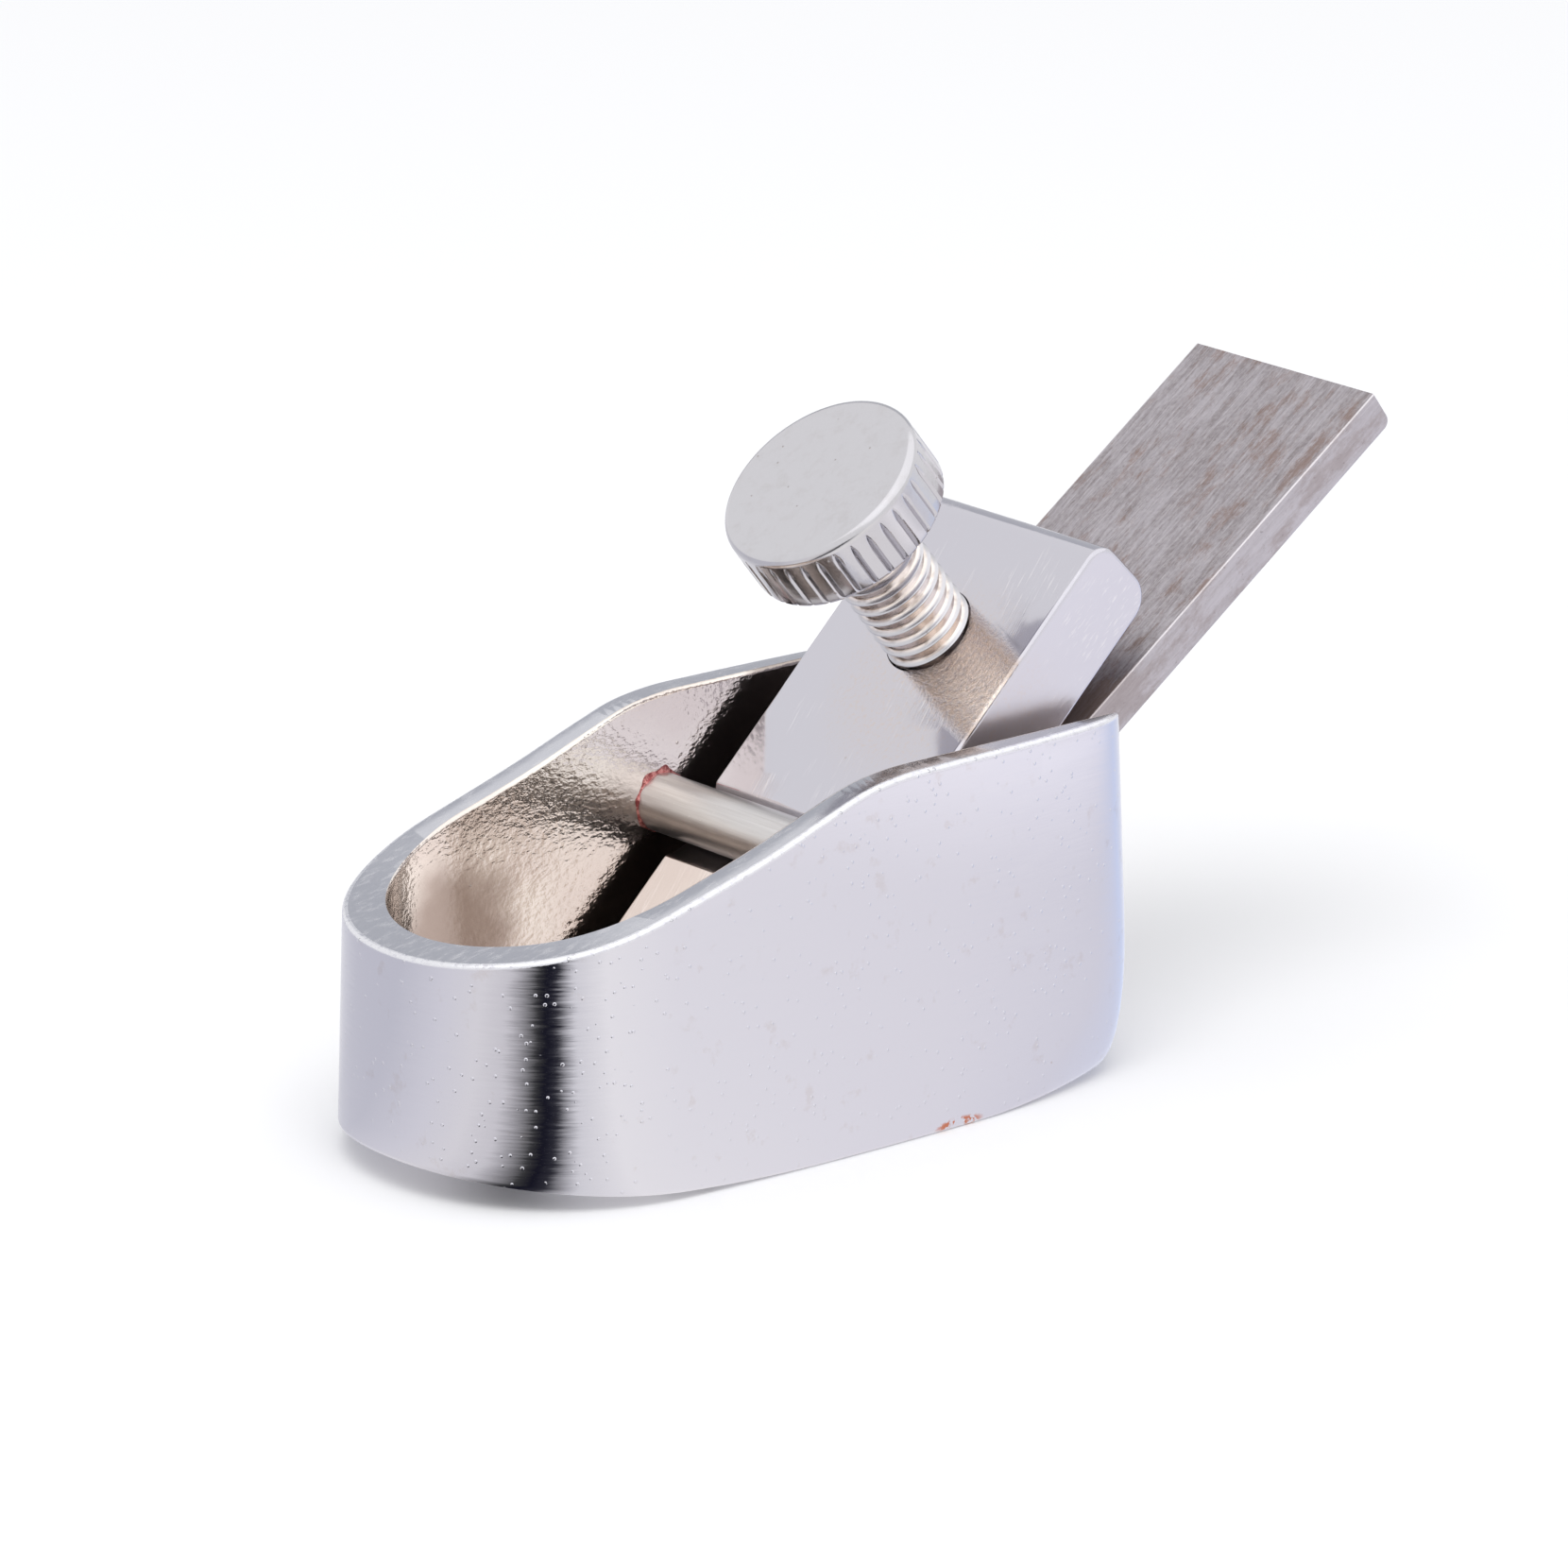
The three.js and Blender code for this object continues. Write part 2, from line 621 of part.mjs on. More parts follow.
const plated = new THREE.MeshStandardMaterial({ color: 0xd6d5de, roughness: 0.22, metalness: 1 });
const platedCap = new THREE.MeshStandardMaterial({ color: 0xdad9e0, roughness: 0.25, metalness: 1 });
const satinSteel = new THREE.MeshStandardMaterial({ color: 0xa39c94, roughness: 0.4, metalness: 1 });
const groundSteel = new THREE.MeshStandardMaterial({ color: 0x9b938d, roughness: 0.5, metalness: 1 });

const fingerPlane = new THREE.Group();
fingerPlane.add(pieceOf("plane_body", planeBody(), plated));
fingerPlane.add(pieceOf("cross_pin", crossPin(), satinSteel));
fingerPlane.add(pieceOf("iron", iron(), groundSteel));
fingerPlane.add(pieceOf("lever_cap", leverCap(), platedCap));
fingerPlane.add(pieceOf("thumbscrew_shank", thumbscrewShank(), plated));
fingerPlane.add(pieceOf("thumbscrew_head", thumbscrewHead(), plated));

export default fingerPlane;
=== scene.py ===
import math

import bmesh
import bpy
from mathutils import Matrix, Vector, noise


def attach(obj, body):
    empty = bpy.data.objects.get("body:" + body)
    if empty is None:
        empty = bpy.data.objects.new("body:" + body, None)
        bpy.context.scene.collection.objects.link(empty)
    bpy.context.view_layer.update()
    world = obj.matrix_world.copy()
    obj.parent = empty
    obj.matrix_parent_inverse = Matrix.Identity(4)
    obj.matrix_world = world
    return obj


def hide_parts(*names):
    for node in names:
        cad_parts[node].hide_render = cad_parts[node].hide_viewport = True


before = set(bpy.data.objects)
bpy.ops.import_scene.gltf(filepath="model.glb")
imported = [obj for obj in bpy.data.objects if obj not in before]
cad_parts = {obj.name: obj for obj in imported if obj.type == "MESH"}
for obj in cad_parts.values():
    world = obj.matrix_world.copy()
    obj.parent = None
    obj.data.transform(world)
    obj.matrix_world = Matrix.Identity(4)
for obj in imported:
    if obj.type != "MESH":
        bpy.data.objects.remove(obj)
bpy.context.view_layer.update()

# Camera
# The photograph looks down a little on the near side from ahead of the toe, through a long lens.
# Azimuth 0 would look along +Y. Lengths in this file are millimetres, brought to metres by MM.
MM = 0.001
VIEW_AZIMUTH = math.radians(-39.57)
VIEW_ELEVATION = math.radians(16.94)
VIEW_ROLL = math.radians(-0.13)
VIEW_DISTANCE = 458.1
VIEW_TARGET = Vector((2.68, 0, 13.84))
LENS = 238.3
NEAR_CLIP = 10

toward_camera = Vector(
    (
        math.sin(VIEW_AZIMUTH) * math.cos(VIEW_ELEVATION),
        -math.cos(VIEW_AZIMUTH) * math.cos(VIEW_ELEVATION),
        math.sin(VIEW_ELEVATION),
    )
)
camera_data = bpy.data.cameras.new("camera")
camera_data.lens = LENS
camera_data.clip_start = NEAR_CLIP * MM
camera = bpy.data.objects.new("camera", camera_data)
camera.location = (VIEW_TARGET + toward_camera * VIEW_DISTANCE) * MM
level_view = toward_camera.to_track_quat("Z", "Y").to_matrix()
camera.rotation_euler = (level_view @ Matrix.Rotation(VIEW_ROLL, 3, "Z")).to_euler()
bpy.context.scene.collection.objects.link(camera)
bpy.context.scene.camera = camera
bpy.context.scene.view_settings.view_transform = "Standard"


# Studio
# A white surround and a white floor, one large soft lamp overhead, and what polished metal shows
# of them: a floor that has a dark wedge before the toe, brightest beside it and bluish behind
# the heel, a bright ceiling on the near side, and a grey wall far behind.
WHITE = (1, 1, 1, 1)
SURROUND_COLOUR = (0.98, 0.985, 1, 1)
SURROUND_LIGHT = 0.9
FLOOR_COLOUR = (0.94, 0.94, 0.945, 1)
FLOOR_SIZE = 6000
FLOOR_DROP = 0.01
TOE_PIVOT = (-10.3, 3.4)
BRIGHTEST = 1.2
FLOOR_HEADINGS = (
    (-180, (0.88, 0.87, 0.90)),
    (-160, (0.95, 0.93, 0.92)),
    (-146, (0.82, 0.80, 0.80)),
    (-132, (0.05, 0.05, 0.05)),
    (-128, (0.01, 0.01, 0.02)),
    (-123, (0.04, 0.04, 0.05)),
    (-115, (0.90, 0.89, 0.89)),
    (-100, (1.12, 1.10, 1.07)),
    (-45, (1.0, 0.98, 1.0)),
    (-32, (0.91, 0.90, 0.95)),
    (-12, (0.82, 0.90, 1.1)),
    (20, (0.98, 0.98, 1.0)),
    (115, (0.73, 0.73, 0.78)),
    (150, (0.73, 0.73, 0.78)),
    (180, (0.88, 0.87, 0.90)),
)
LIT_SPOT = (76, -68)
LIT_SPOT_EDGE = (50, 12)
LIT_SPOT_GAIN = 1.2
CEILING_CORNERS = ((-350, -700), (600, -700), (600, 120), (-350, 120))
CEILING_HEIGHT = 400
CEILING_COLOUR = (1, 1, 1)
CEILING_GLOW = 1.3
GREY_WALL_LEFT = (60, 330)
GREY_WALL_RIGHT = (330, 150)
GREY_WALL_FOOT = 30
GREY_WALL_TOP = 240
GREY_WALL_COLOUR = (0.61, 0.62, 0.65)
LAMP_LENGTH = 360
LAMP_WIDTH = 300
LAMP_POWER = 0.92
LAMP_PLACE = Vector((-150, -160, 480))


def emptied_tree(owner):
    """The node tree of a material or a world, with nothing in it."""
    owner.use_nodes = True
    owner.node_tree.nodes.clear()
    return owner.node_tree


def add_node(tree, kind, inputs=None, **settings):
    """A new node: each input gets a value, or a link where it is given another node's output."""
    made = tree.nodes.new(kind)
    for name, value in settings.items():
        setattr(made, name, value)
    for name, value in (inputs or {}).items():
        if isinstance(value, bpy.types.NodeSocket):
            tree.links.new(value, made.inputs[name])
        else:
            made.inputs[name].default_value = value
    return made


def math_of(tree, operation, first, second=0):
    return add_node(tree, "ShaderNodeMath", {0: first, 1: second}, operation=operation).outputs[0]


def times(tree, first, second):
    return math_of(tree, "MULTIPLY", first, second)


def vector_of(tree, operation, first, second=(0, 0, 0), output="Vector"):
    inputs = {0: first, 1: second}
    return add_node(tree, "ShaderNodeVectorMath", inputs, operation=operation).outputs[output]


def between(tree, value, low, high, start=0, end=1):
    """Goes smoothly from start to end while the value goes from low to high."""
    return add_node(
        tree,
        "ShaderNodeMapRange",
        {"Value": value, "From Min": low, "From Max": high, "To Min": start, "To Max": end},
        interpolation_type="SMOOTHSTEP",
    ).outputs["Result"]


def mirror_rays(tree):
    """1 for rays that come straight from metal or glass."""
    path = add_node(tree, "ShaderNodeLightPath").outputs
    return math_of(tree, "MAXIMUM", path["Is Glossy Ray"], path["Is Transmission Ray"])


world = bpy.data.worlds.new("studio")
bpy.context.scene.world = world
tree = emptied_tree(world)
surround = add_node(tree, "ShaderNodeBackground", {"Color": SURROUND_COLOUR, "Strength": SURROUND_LIGHT})
backdrop = add_node(tree, "ShaderNodeBackground", {"Color": WHITE, "Strength": 1})
camera_rays = add_node(tree, "ShaderNodeLightPath").outputs["Is Camera Ray"]
seen_rays = math_of(tree, "MAXIMUM", mirror_rays(tree), camera_rays)
world_mix = add_node(
    tree, "ShaderNodeMixShader", {0: seen_rays, 1: surround.outputs[0], 2: backdrop.outputs[0]}
)
add_node(tree, "ShaderNodeOutputWorld", {"Surface": world_mix.outputs[0]})


def add_object(name, vertices, faces, materials, place=Matrix()):
    """A new object from points in millimetres, set in its place."""
    mesh = bpy.data.meshes.new(name)
    mesh.from_pydata([place @ (vertex * MM) for vertex in vertices], [], faces)
    for material in materials:
        mesh.materials.append(material)
    made = bpy.data.objects.new(name, mesh)
    bpy.context.scene.collection.objects.link(made)
    return made


def flat_card(name, corners, material):
    """A flat stage piece with the given corners."""
    corners = [Vector(corner) for corner in corners]
    card = add_object(name, corners, [range(len(corners))], [material])
    return card


def on_floor(tree, pivot):
    """Millimetres along the floor from a point on it."""
    coordinates = add_node(tree, "ShaderNodeTexCoord").outputs["Object"]
    in_mm = vector_of(tree, "MULTIPLY", coordinates, (1 / MM, 1 / MM, 0))
    return vector_of(tree, "SUBTRACT", in_mm, (*pivot, 0))


def floor_paint():
    """White paint, but polished metal mirrors a glow that goes by its heading from the toe."""
    material = bpy.data.materials.new("floor")
    tree = emptied_tree(material)
    heading = add_node(
        tree, "ShaderNodeTexGradient", {"Vector": on_floor(tree, TOE_PIVOT)}, gradient_type="RADIAL"
    )
    heading_ramp = add_node(tree, "ShaderNodeValToRGB", {0: heading.outputs["Fac"]})
    ramp = heading_ramp.color_ramp
    ramp.interpolation = "LINEAR"
    while len(ramp.elements) < len(FLOOR_HEADINGS):
        ramp.elements.new(1)
    for element, (degrees, colour) in zip(ramp.elements, FLOOR_HEADINGS):
        element.position = (degrees + 180) / 360
        element.color = (*(channel / BRIGHTEST for channel in colour), 1)
    from_spot = vector_of(tree, "LENGTH", on_floor(tree, LIT_SPOT), output="Value")
    spot_gain = between(tree, from_spot, *LIT_SPOT_EDGE, 1, LIT_SPOT_GAIN)
    paint = add_node(tree, "ShaderNodeBsdfDiffuse", {"Color": FLOOR_COLOUR})
    glow = add_node(
        tree,
        "ShaderNodeEmission",
        {"Color": heading_ramp.outputs[0], "Strength": times(tree, spot_gain, BRIGHTEST)},
    )
    mix = add_node(
        tree, "ShaderNodeMixShader", {0: mirror_rays(tree), 1: paint.outputs[0], 2: glow.outputs[0]}
    )
    add_node(tree, "ShaderNodeOutputMaterial", {"Surface": mix.outputs[0]})
    return material


half_floor = FLOOR_SIZE / 2
floor_corners = ((-1, -1), (1, -1), (1, 1), (-1, 1))
flat_card("floor", [(x * half_floor, y * half_floor, -FLOOR_DROP) for x, y in floor_corners], floor_paint())


def reflector(name, corners, colour, strength):
    """A card that polished metal reflects, and that nothing else sees."""
    material = bpy.data.materials.new(name)
    tree = emptied_tree(material)
    glow = add_node(tree, "ShaderNodeEmission", {"Color": (*colour, 1), "Strength": strength})
    add_node(tree, "ShaderNodeOutputMaterial", {"Surface": glow.outputs[0]})
    card = flat_card(name, corners, material)
    card.visible_camera = False
    card.visible_diffuse = False
    card.visible_shadow = False
    card.visible_transmission = False


reflector(
    "card_ceiling",
    [(*corner, CEILING_HEIGHT) for corner in CEILING_CORNERS],
    CEILING_COLOUR,
    CEILING_GLOW,
)
reflector(
    "card_grey_wall",
    [
        (*GREY_WALL_LEFT, GREY_WALL_FOOT),
        (*GREY_WALL_RIGHT, GREY_WALL_FOOT),
        (*GREY_WALL_RIGHT, GREY_WALL_TOP),
        (*GREY_WALL_LEFT, GREY_WALL_TOP),
    ],
    GREY_WALL_COLOUR,
    1,
)

lamp_data = bpy.data.lights.new("softbox", "AREA")
lamp_data.shape = "RECTANGLE"
lamp_data.size = LAMP_LENGTH * MM
lamp_data.size_y = LAMP_WIDTH * MM
lamp_data.energy = LAMP_POWER
lamp = bpy.data.objects.new("softbox", lamp_data)
lamp.location = LAMP_PLACE * MM
lamp.rotation_euler = lamp.location.to_track_quat("Z", "Y").to_euler()
bpy.context.scene.collection.objects.link(lamp)


# Plane body
# One casting, boat-shaped in plan, with a long curved sole, an open pocket and an inclined bed.
# It is ground outside, left as cast inside, and bright plated all over; the plating is worn
# through to a paler line along the rim.
TOE_REACH = 19.75
HEEL_REACH = 18.6
BODY_WIDTH = 19.8
SIDE_BOW = 1.0
TOE_ROUND_LENGTH = 9.2
TOE_FULLNESS = 2.15
HEEL_ARC_RADIUS = 14
HEEL_CORNER_SHARPNESS = 14
SIDE_LEAN = math.tan(math.radians(2.9))
END_LEAN = math.tan(math.radians(1.3))
HEEL_RIM_HEIGHT = 16.5
RIM_LENGTH_SHARES = (0, 0.126, 0.256, 0.385, 0.463, 0.515, 0.567, 0.64, 1)
RIM_HEIGHT_SHARES = (0.65, 0.703, 0.787, 0.877, 0.941, 0.98, 0.997, 1, 1)
RIM_ROUND = 0.25
INNER_RIM_ROUND = 0.2
SOLE_LAND_FRONT = 3
SOLE_LAND_REAR = 5
SOLE_TOE_RADIUS = 104
SOLE_HEEL_RADIUS = 100
SOLE_EDGE_ROUND = 0.26
HEEL_TURN_DEPTH = 1.45
HEEL_TURN_HEIGHT = 7
HEEL_TURN_LENGTH = 12
RIM_WALL = 1.47
TOE_WALL = 1.65
POCKET_LEAN = math.tan(math.radians(1))
POCKET_FILLET = 0.8
FLOOR_HEIGHT = 2.4
MOUTH_GAP = 0.9
MOUTH_LEAN = math.tan(math.radians(22))
MOUTH_SIDE_GAP = 0.25
BODY_STATIONS = 150
ROUND_STEPS = 7
INNER_ROUND_STEPS = 3
SIDE_STEPS = 10
CUT_OVERRUN = 3

# The iron's and the cap's main sizes stand here, because the bed, the pocket and the mouth need them.
IRON_PITCH = math.radians(35.4)
IRON_EDGE_AHEAD = 6.85
IRON_LENGTH = 48
IRON_THICKNESS = 1.82
IRON_SEAT_GAP = 0.1
IRON_SIDE_GAP = 1.59
CAP_PITCH = math.radians(44)
CAP_PLANE_AHEAD = 9
CAP_OVERHANG = 0.2

toe_x = -TOE_REACH
heel_x = HEEL_REACH
body_length = TOE_REACH + HEEL_REACH
pocket_half_width = BODY_WIDTH / 2 - HEEL_RIM_HEIGHT * SIDE_LEAN - RIM_WALL
pocket_toe_x = toe_x + HEEL_RIM_HEIGHT * END_LEAN + TOE_WALL
iron_half_width = pocket_half_width - IRON_SIDE_GAP
cap_half_width = iron_half_width + CAP_OVERHANG


def half_width_at(x):
    """Half the width at sole level: bowed sides, a rounded toe, and an arc with corners behind."""
    side = BODY_WIDTH / 2 - SIDE_BOW * (x / TOE_REACH) ** 2
    into_toe = max(0, (toe_x + TOE_ROUND_LENGTH - x) / TOE_ROUND_LENGTH)
    toe_end = max(0, 1 - into_toe**TOE_FULLNESS) ** (1 / TOE_FULLNESS)
    into_heel = max(0, x - heel_x + HEEL_ARC_RADIUS)
    heel_arc = math.sqrt(max(0, HEEL_ARC_RADIUS**2 - into_heel**2))
    power = HEEL_CORNER_SHARPNESS
    return toe_end * side * heel_arc / (side**power + heel_arc**power) ** (1 / power)


rim_knots = [
    (toe_x + share * body_length, height * HEEL_RIM_HEIGHT)
    for share, height in zip(RIM_LENGTH_SHARES, RIM_HEIGHT_SHARES)
]


def slope_between(low, high):
    (x0, z0), (x1, z1) = rim_knots[low], rim_knots[high]
    return (z1 - z0) / (x1 - x0)


def rim_slope(knot):
    """Slope of the rim line at one of its knots, from the chords on either side."""
    if knot in (0, len(rim_knots) - 1):
        return 0 if knot else slope_between(0, 1)
    before = rim_knots[knot][0] - rim_knots[knot - 1][0]
    after = rim_knots[knot + 1][0] - rim_knots[knot][0]
    rise = slope_between(knot - 1, knot) * after + slope_between(knot, knot + 1) * before
    return rise / (before + after)


rim_slopes = [rim_slope(knot) for knot in range(len(rim_knots))]


def rim_height_at(x):
    """Height of the rim line, a smooth curve through its knots."""
    x = min(max(x, toe_x), heel_x)
    low = max(k for k in range(len(rim_knots) - 1) if rim_knots[k][0] <= x)
    (x0, z0), (x1, z1) = rim_knots[low], rim_knots[low + 1]
    run = x1 - x0
    t = (x - x0) / run
    start = (1 + 2 * t) * (1 - t) ** 2 * z0 + t * (1 - t) ** 2 * run * rim_slopes[low]
    end = t * t * (3 - 2 * t) * z1 + t * t * (t - 1) * run * rim_slopes[low + 1]
    return min(start + end, HEEL_RIM_HEIGHT)


def arc_rise(run, radius):
    return radius - math.sqrt(radius * radius - run * run)


def sole_height_at(x):
    """The sole is flat in the middle, and rises on a long arc to either end."""
    if x < -SOLE_LAND_FRONT:
        return arc_rise(-SOLE_LAND_FRONT - x, SOLE_TOE_RADIUS)
    if x > SOLE_LAND_REAR:
        return arc_rise(x - SOLE_LAND_REAR, SOLE_HEEL_RADIUS)
    return 0


def smooth_step(x, low, high):
    t = min(max((x - low) / (high - low), 0), 1)
    return t * t * (3 - 2 * t)


def quarter_turn(steps):
    """Sine and cosine of even steps through a quarter turn."""
    turns = [math.pi / 2 * i / steps for i in range(steps + 1)]
    return [(math.sin(turn), math.cos(turn)) for turn in turns]


def plan_outline():
    """Points at sole level with their outward direction: toe, near side, heel, far side."""
    near = []
    for i in range(BODY_STATIONS + 1):
        x = toe_x + body_length * (1 - math.cos(math.pi * i / BODY_STATIONS)) / 2
        near.append(Vector((x, -half_width_at(x))))
    far = [Vector((point.x, -point.y)) for point in reversed(near[1:-1])]
    points = near + far
    outline = []
    for i, point in enumerate(points):
        along = (points[(i + 1) % len(points)] - points[i - 1]).normalized()
        outline.append((point, Vector((along.y, -along.x))))
    return outline


def hull_rings():
    """Level outlines of the outside: up the sole's rounded edge, the side, and over the rim."""
    outline = plan_outline()

    def ring(inset_at, height_at):
        points = []
        for point, outward in outline:
            height = height_at(point.x)
            inset = inset_at(point.x)
            x = point.x - outward.x * (inset + height * END_LEAN)
            y = point.y - outward.y * (inset + height * SIDE_LEAN)
            points.append(Vector((x, y, height)))
        return points

    def heel_share(x):
        return smooth_step(x, heel_x - HEEL_TURN_LENGTH, heel_x)

    def turn_depth(x):
        return SOLE_EDGE_ROUND + (HEEL_TURN_DEPTH - SOLE_EDGE_ROUND) * heel_share(x)

    def turn_height(x):
        return SOLE_EDGE_ROUND + (HEEL_TURN_HEIGHT - SOLE_EDGE_ROUND) * heel_share(x)

    def side_height(x, share):
        side_foot = sole_height_at(x) + turn_height(x)
        return side_foot * (1 - share) + (rim_height_at(x) - RIM_ROUND) * share

    rings = []
    for sine, cosine in quarter_turn(ROUND_STEPS):
        rings.append(
            ring(
                lambda x: turn_depth(x) * (1 - sine),
                lambda x: sole_height_at(x) + turn_height(x) * (1 - cosine),
            )
        )
    for i in range(1, SIDE_STEPS):
        rings.append(ring(lambda x: 0, lambda x: side_height(x, i / SIDE_STEPS)))
    for sine, cosine in quarter_turn(ROUND_STEPS):
        rings.append(
            ring(
                lambda x: RIM_ROUND * (1 - cosine),
                lambda x: rim_height_at(x) - RIM_ROUND * (1 - sine),
            )
        )
    return rings


def pocket_rings():
    """U-shaped in plan: a round end behind the toe, then straight sides out past the heel."""
    round_length = TOE_ROUND_LENGTH - TOE_WALL / 2
    end_x = heel_x + CUT_OVERRUN
    straight = end_x - pocket_toe_x - round_length
    steps = BODY_STATIONS // 2

    def outline_at(inset):
        side_y = pocket_half_width - inset
        near = []
        for sine, cosine in quarter_turn(steps):
            near.append((pocket_toe_x + inset + (round_length - inset) * (1 - cosine), -side_y * sine))
        for i in range(1, steps + 1):
            near.append((pocket_toe_x + round_length + straight * i / steps, -side_y))
        far = [(x, -y) for x, y in reversed(near[1:])]
        return near + [(end_x, 0)] + far

    base = outline_at(0)

    def ring(inset_at, height_at):
        points = []
        for i, (x, _) in enumerate(base):
            height = height_at(x)
            moved_x, moved_y = outline_at(inset_at(height))[i]
            points.append(Vector((moved_x, moved_y, height)))
        return points

    def lean_in(height):
        return (HEEL_RIM_HEIGHT - height) * POCKET_LEAN

    rings = []
    for sine, cosine in quarter_turn(ROUND_STEPS):
        rings.append(
            ring(
                lambda height: lean_in(height) + POCKET_FILLET * (1 - sine),
                lambda x: FLOOR_HEIGHT + POCKET_FILLET * (1 - cosine),
            )
        )
    for sine, cosine in quarter_turn(INNER_ROUND_STEPS):
        rings.append(
            ring(
                lambda height: lean_in(height) - INNER_RIM_ROUND * (1 - cosine),
                lambda x: rim_height_at(x) - INNER_RIM_ROUND * (1 - sine),
            )
        )
    rings.append(ring(lambda height: -INNER_RIM_ROUND, lambda x: HEEL_RIM_HEIGHT + CUT_OVERRUN))
    return rings


def skin(name, rings, materials, top_material=0):
    """Closed rings of points, lowest first, joined into one closed piece with flat ends."""
    count = len(rings[0])
    vertices = [point for ring in rings for point in ring]
    faces = []
    for level in range(len(rings) - 1):
        low = level * count
        for i in range(count):
            after = (i + 1) % count
            faces.append((low + i, low + after, low + count + after, low + count + i))
    side_faces = len(faces)
    top = (len(rings) - 1) * count
    for start, upward in ((0, False), (top, True)):
        for i in range(count // 2):
            near = (start + i, start + i + 1)
            far = (start + (count - i) % count, start + count - i - 1)
            corners = (near[0], near[1], far[1], far[0]) if upward else (near[0], far[0], far[1], near[1])
            faces.append(tuple(dict.fromkeys(corners)))
    made = add_object(name, vertices, faces, materials)
    for face in made.data.polygons[side_faces + count // 2 :]:
        face.material_index = top_material
    return made


def cut(target, tool, operation="DIFFERENCE"):
    """Cuts a tool's shape from a target, or keeps what they share, and deletes the tool."""
    step = target.modifiers.new("cut", "BOOLEAN")
    step.object = tool
    step.operation = operation
    step.solver = "EXACT"
    step.material_mode = "TRANSFER"
    shaped = target.evaluated_get(bpy.context.evaluated_depsgraph_get())
    mesh = bpy.data.meshes.new_from_object(shaped)
    target.modifiers.clear()
    target.data = mesh
    bpy.data.objects.remove(tool)


def face_outwards(piece):
    """Turns the faces of a closed piece outwards."""
    mesh = bmesh.new()
    mesh.from_mesh(piece.data)
    bmesh.ops.recalc_face_normals(mesh, faces=mesh.faces)
    mesh.to_mesh(piece.data)
    mesh.free()


def prism(name, side_view, half_width, materials):
    """A block across the body from points of its side view, given as (x, z)."""
    count = len(side_view)
    vertices = [Vector((x, y, z)) for y in (-half_width, half_width) for x, z in side_view]
    faces = [tuple(range(count)), tuple(reversed(range(count, 2 * count)))]
    for i in range(count):
        after = (i + 1) % count
        faces.append((after, i, count + i, count + after))
    made = add_object(name, vertices, faces, materials)
    face_outwards(made)
    return made


def finish_piece(piece, body, node, sharp_deg=32):
    """Smooth shading with crisp edges, then its place in the frame."""
    piece.data.shade_smooth()
    piece.data.set_sharp_from_angle(angle=math.radians(sharp_deg))
    weighting = piece.modifiers.new("even_normals", "WEIGHTED_NORMAL")
    weighting.keep_sharp = True
    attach(piece, body)
    if node:
        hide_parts(node)


def metal(name, colour, roughness):
    """A plain metal surface to build on: its material, node tree and shader node."""
    material = bpy.data.materials.new(name)
    material.use_nodes = True
    shader = material.node_tree.nodes["Principled BSDF"]
    shader.inputs["Base Color"].default_value = (*colour, 1)
    shader.inputs["Metallic"].default_value = 1
    shader.inputs["Roughness"].default_value = roughness
    return material, material.node_tree, shader


def wire(tree, shader, colour, normal, roughness=None):
    """Links the worked-out colour, normal and, where it varies, roughness to the shader."""
    tree.links.new(colour, shader.inputs["Base Color"])
    tree.links.new(normal, shader.inputs["Normal"])
    if roughness:
        tree.links.new(roughness, shader.inputs["Roughness"])


def place_mm(tree, stretch=(1, 1, 1), turn=(0, 0, 0)):
    """Coordinates fixed to the piece, in millimetres, turned and then stretched."""
    coordinates = add_node(tree, "ShaderNodeTexCoord").outputs["Object"]
    turned_place = add_node(
        tree, "ShaderNodeMapping", {"Vector": coordinates, "Rotation": turn}, vector_type="POINT"
    ).outputs[0]
    return vector_of(tree, "MULTIPLY", turned_place, tuple(share / MM for share in stretch))


def axes_of(tree, vector):
    return add_node(tree, "ShaderNodeSeparateXYZ", {0: vector}).outputs


def distance_from(tree, place, spot):
    return vector_of(tree, "DISTANCE", place, spot, "Value")


def noted(tree, name):
    """A number that the mesh notes at each of its points."""
    return add_node(tree, "ShaderNodeAttribute", attribute_name=name).outputs["Fac"]


def noise_at(tree, place, scale, detail=3, roughness=0.55):
    return add_node(
        tree,
        "ShaderNodeTexNoise",
        {"Vector": place, "Scale": scale, "Detail": detail, "Roughness": roughness},
    ).outputs["Fac"]


def laid_over(tree, tone, where, colour, strength=1):
    """Lays a colour over a tone where a mask is 1, and less where it is less."""
    mix = add_node(tree, "ShaderNodeMix", data_type="RGBA")
    tree.links.new(where if strength == 1 else times(tree, where, strength), mix.inputs["Factor"])
    for socket, value in (("A_Color", tone), ("B_Color", colour)):
        target = next(s for s in mix.inputs if s.identifier == socket)
        if isinstance(value, bpy.types.NodeSocket):
            tree.links.new(value, target)
        else:
            target.default_value = (*value, 1)
    return next(s for s in mix.outputs if s.identifier == "Result_Color")


def bumped(tree, height, depth_mm, normal=None):
    """Raises the surface where height is high, on top of an earlier normal if there is one."""
    inputs = {"Height": height, "Distance": depth_mm * MM, "Strength": 1}
    if normal:
        inputs["Normal"] = normal
    return add_node(tree, "ShaderNodeBump", inputs).outputs["Normal"]


def swayed(tree, normal, sway, amount):
    """Tips a normal to the left and right of itself, level with the floor."""
    level = vector_of(tree, "CROSS_PRODUCT", normal, (0, 0, 1))
    reach = times(tree, math_of(tree, "SUBTRACT", sway, 0.5), amount)
    moved = add_node(tree, "ShaderNodeVectorMath", {0: level, "Scale": reach}, operation="SCALE").outputs[0]
    return vector_of(tree, "NORMALIZE", vector_of(tree, "ADD", normal, moved))


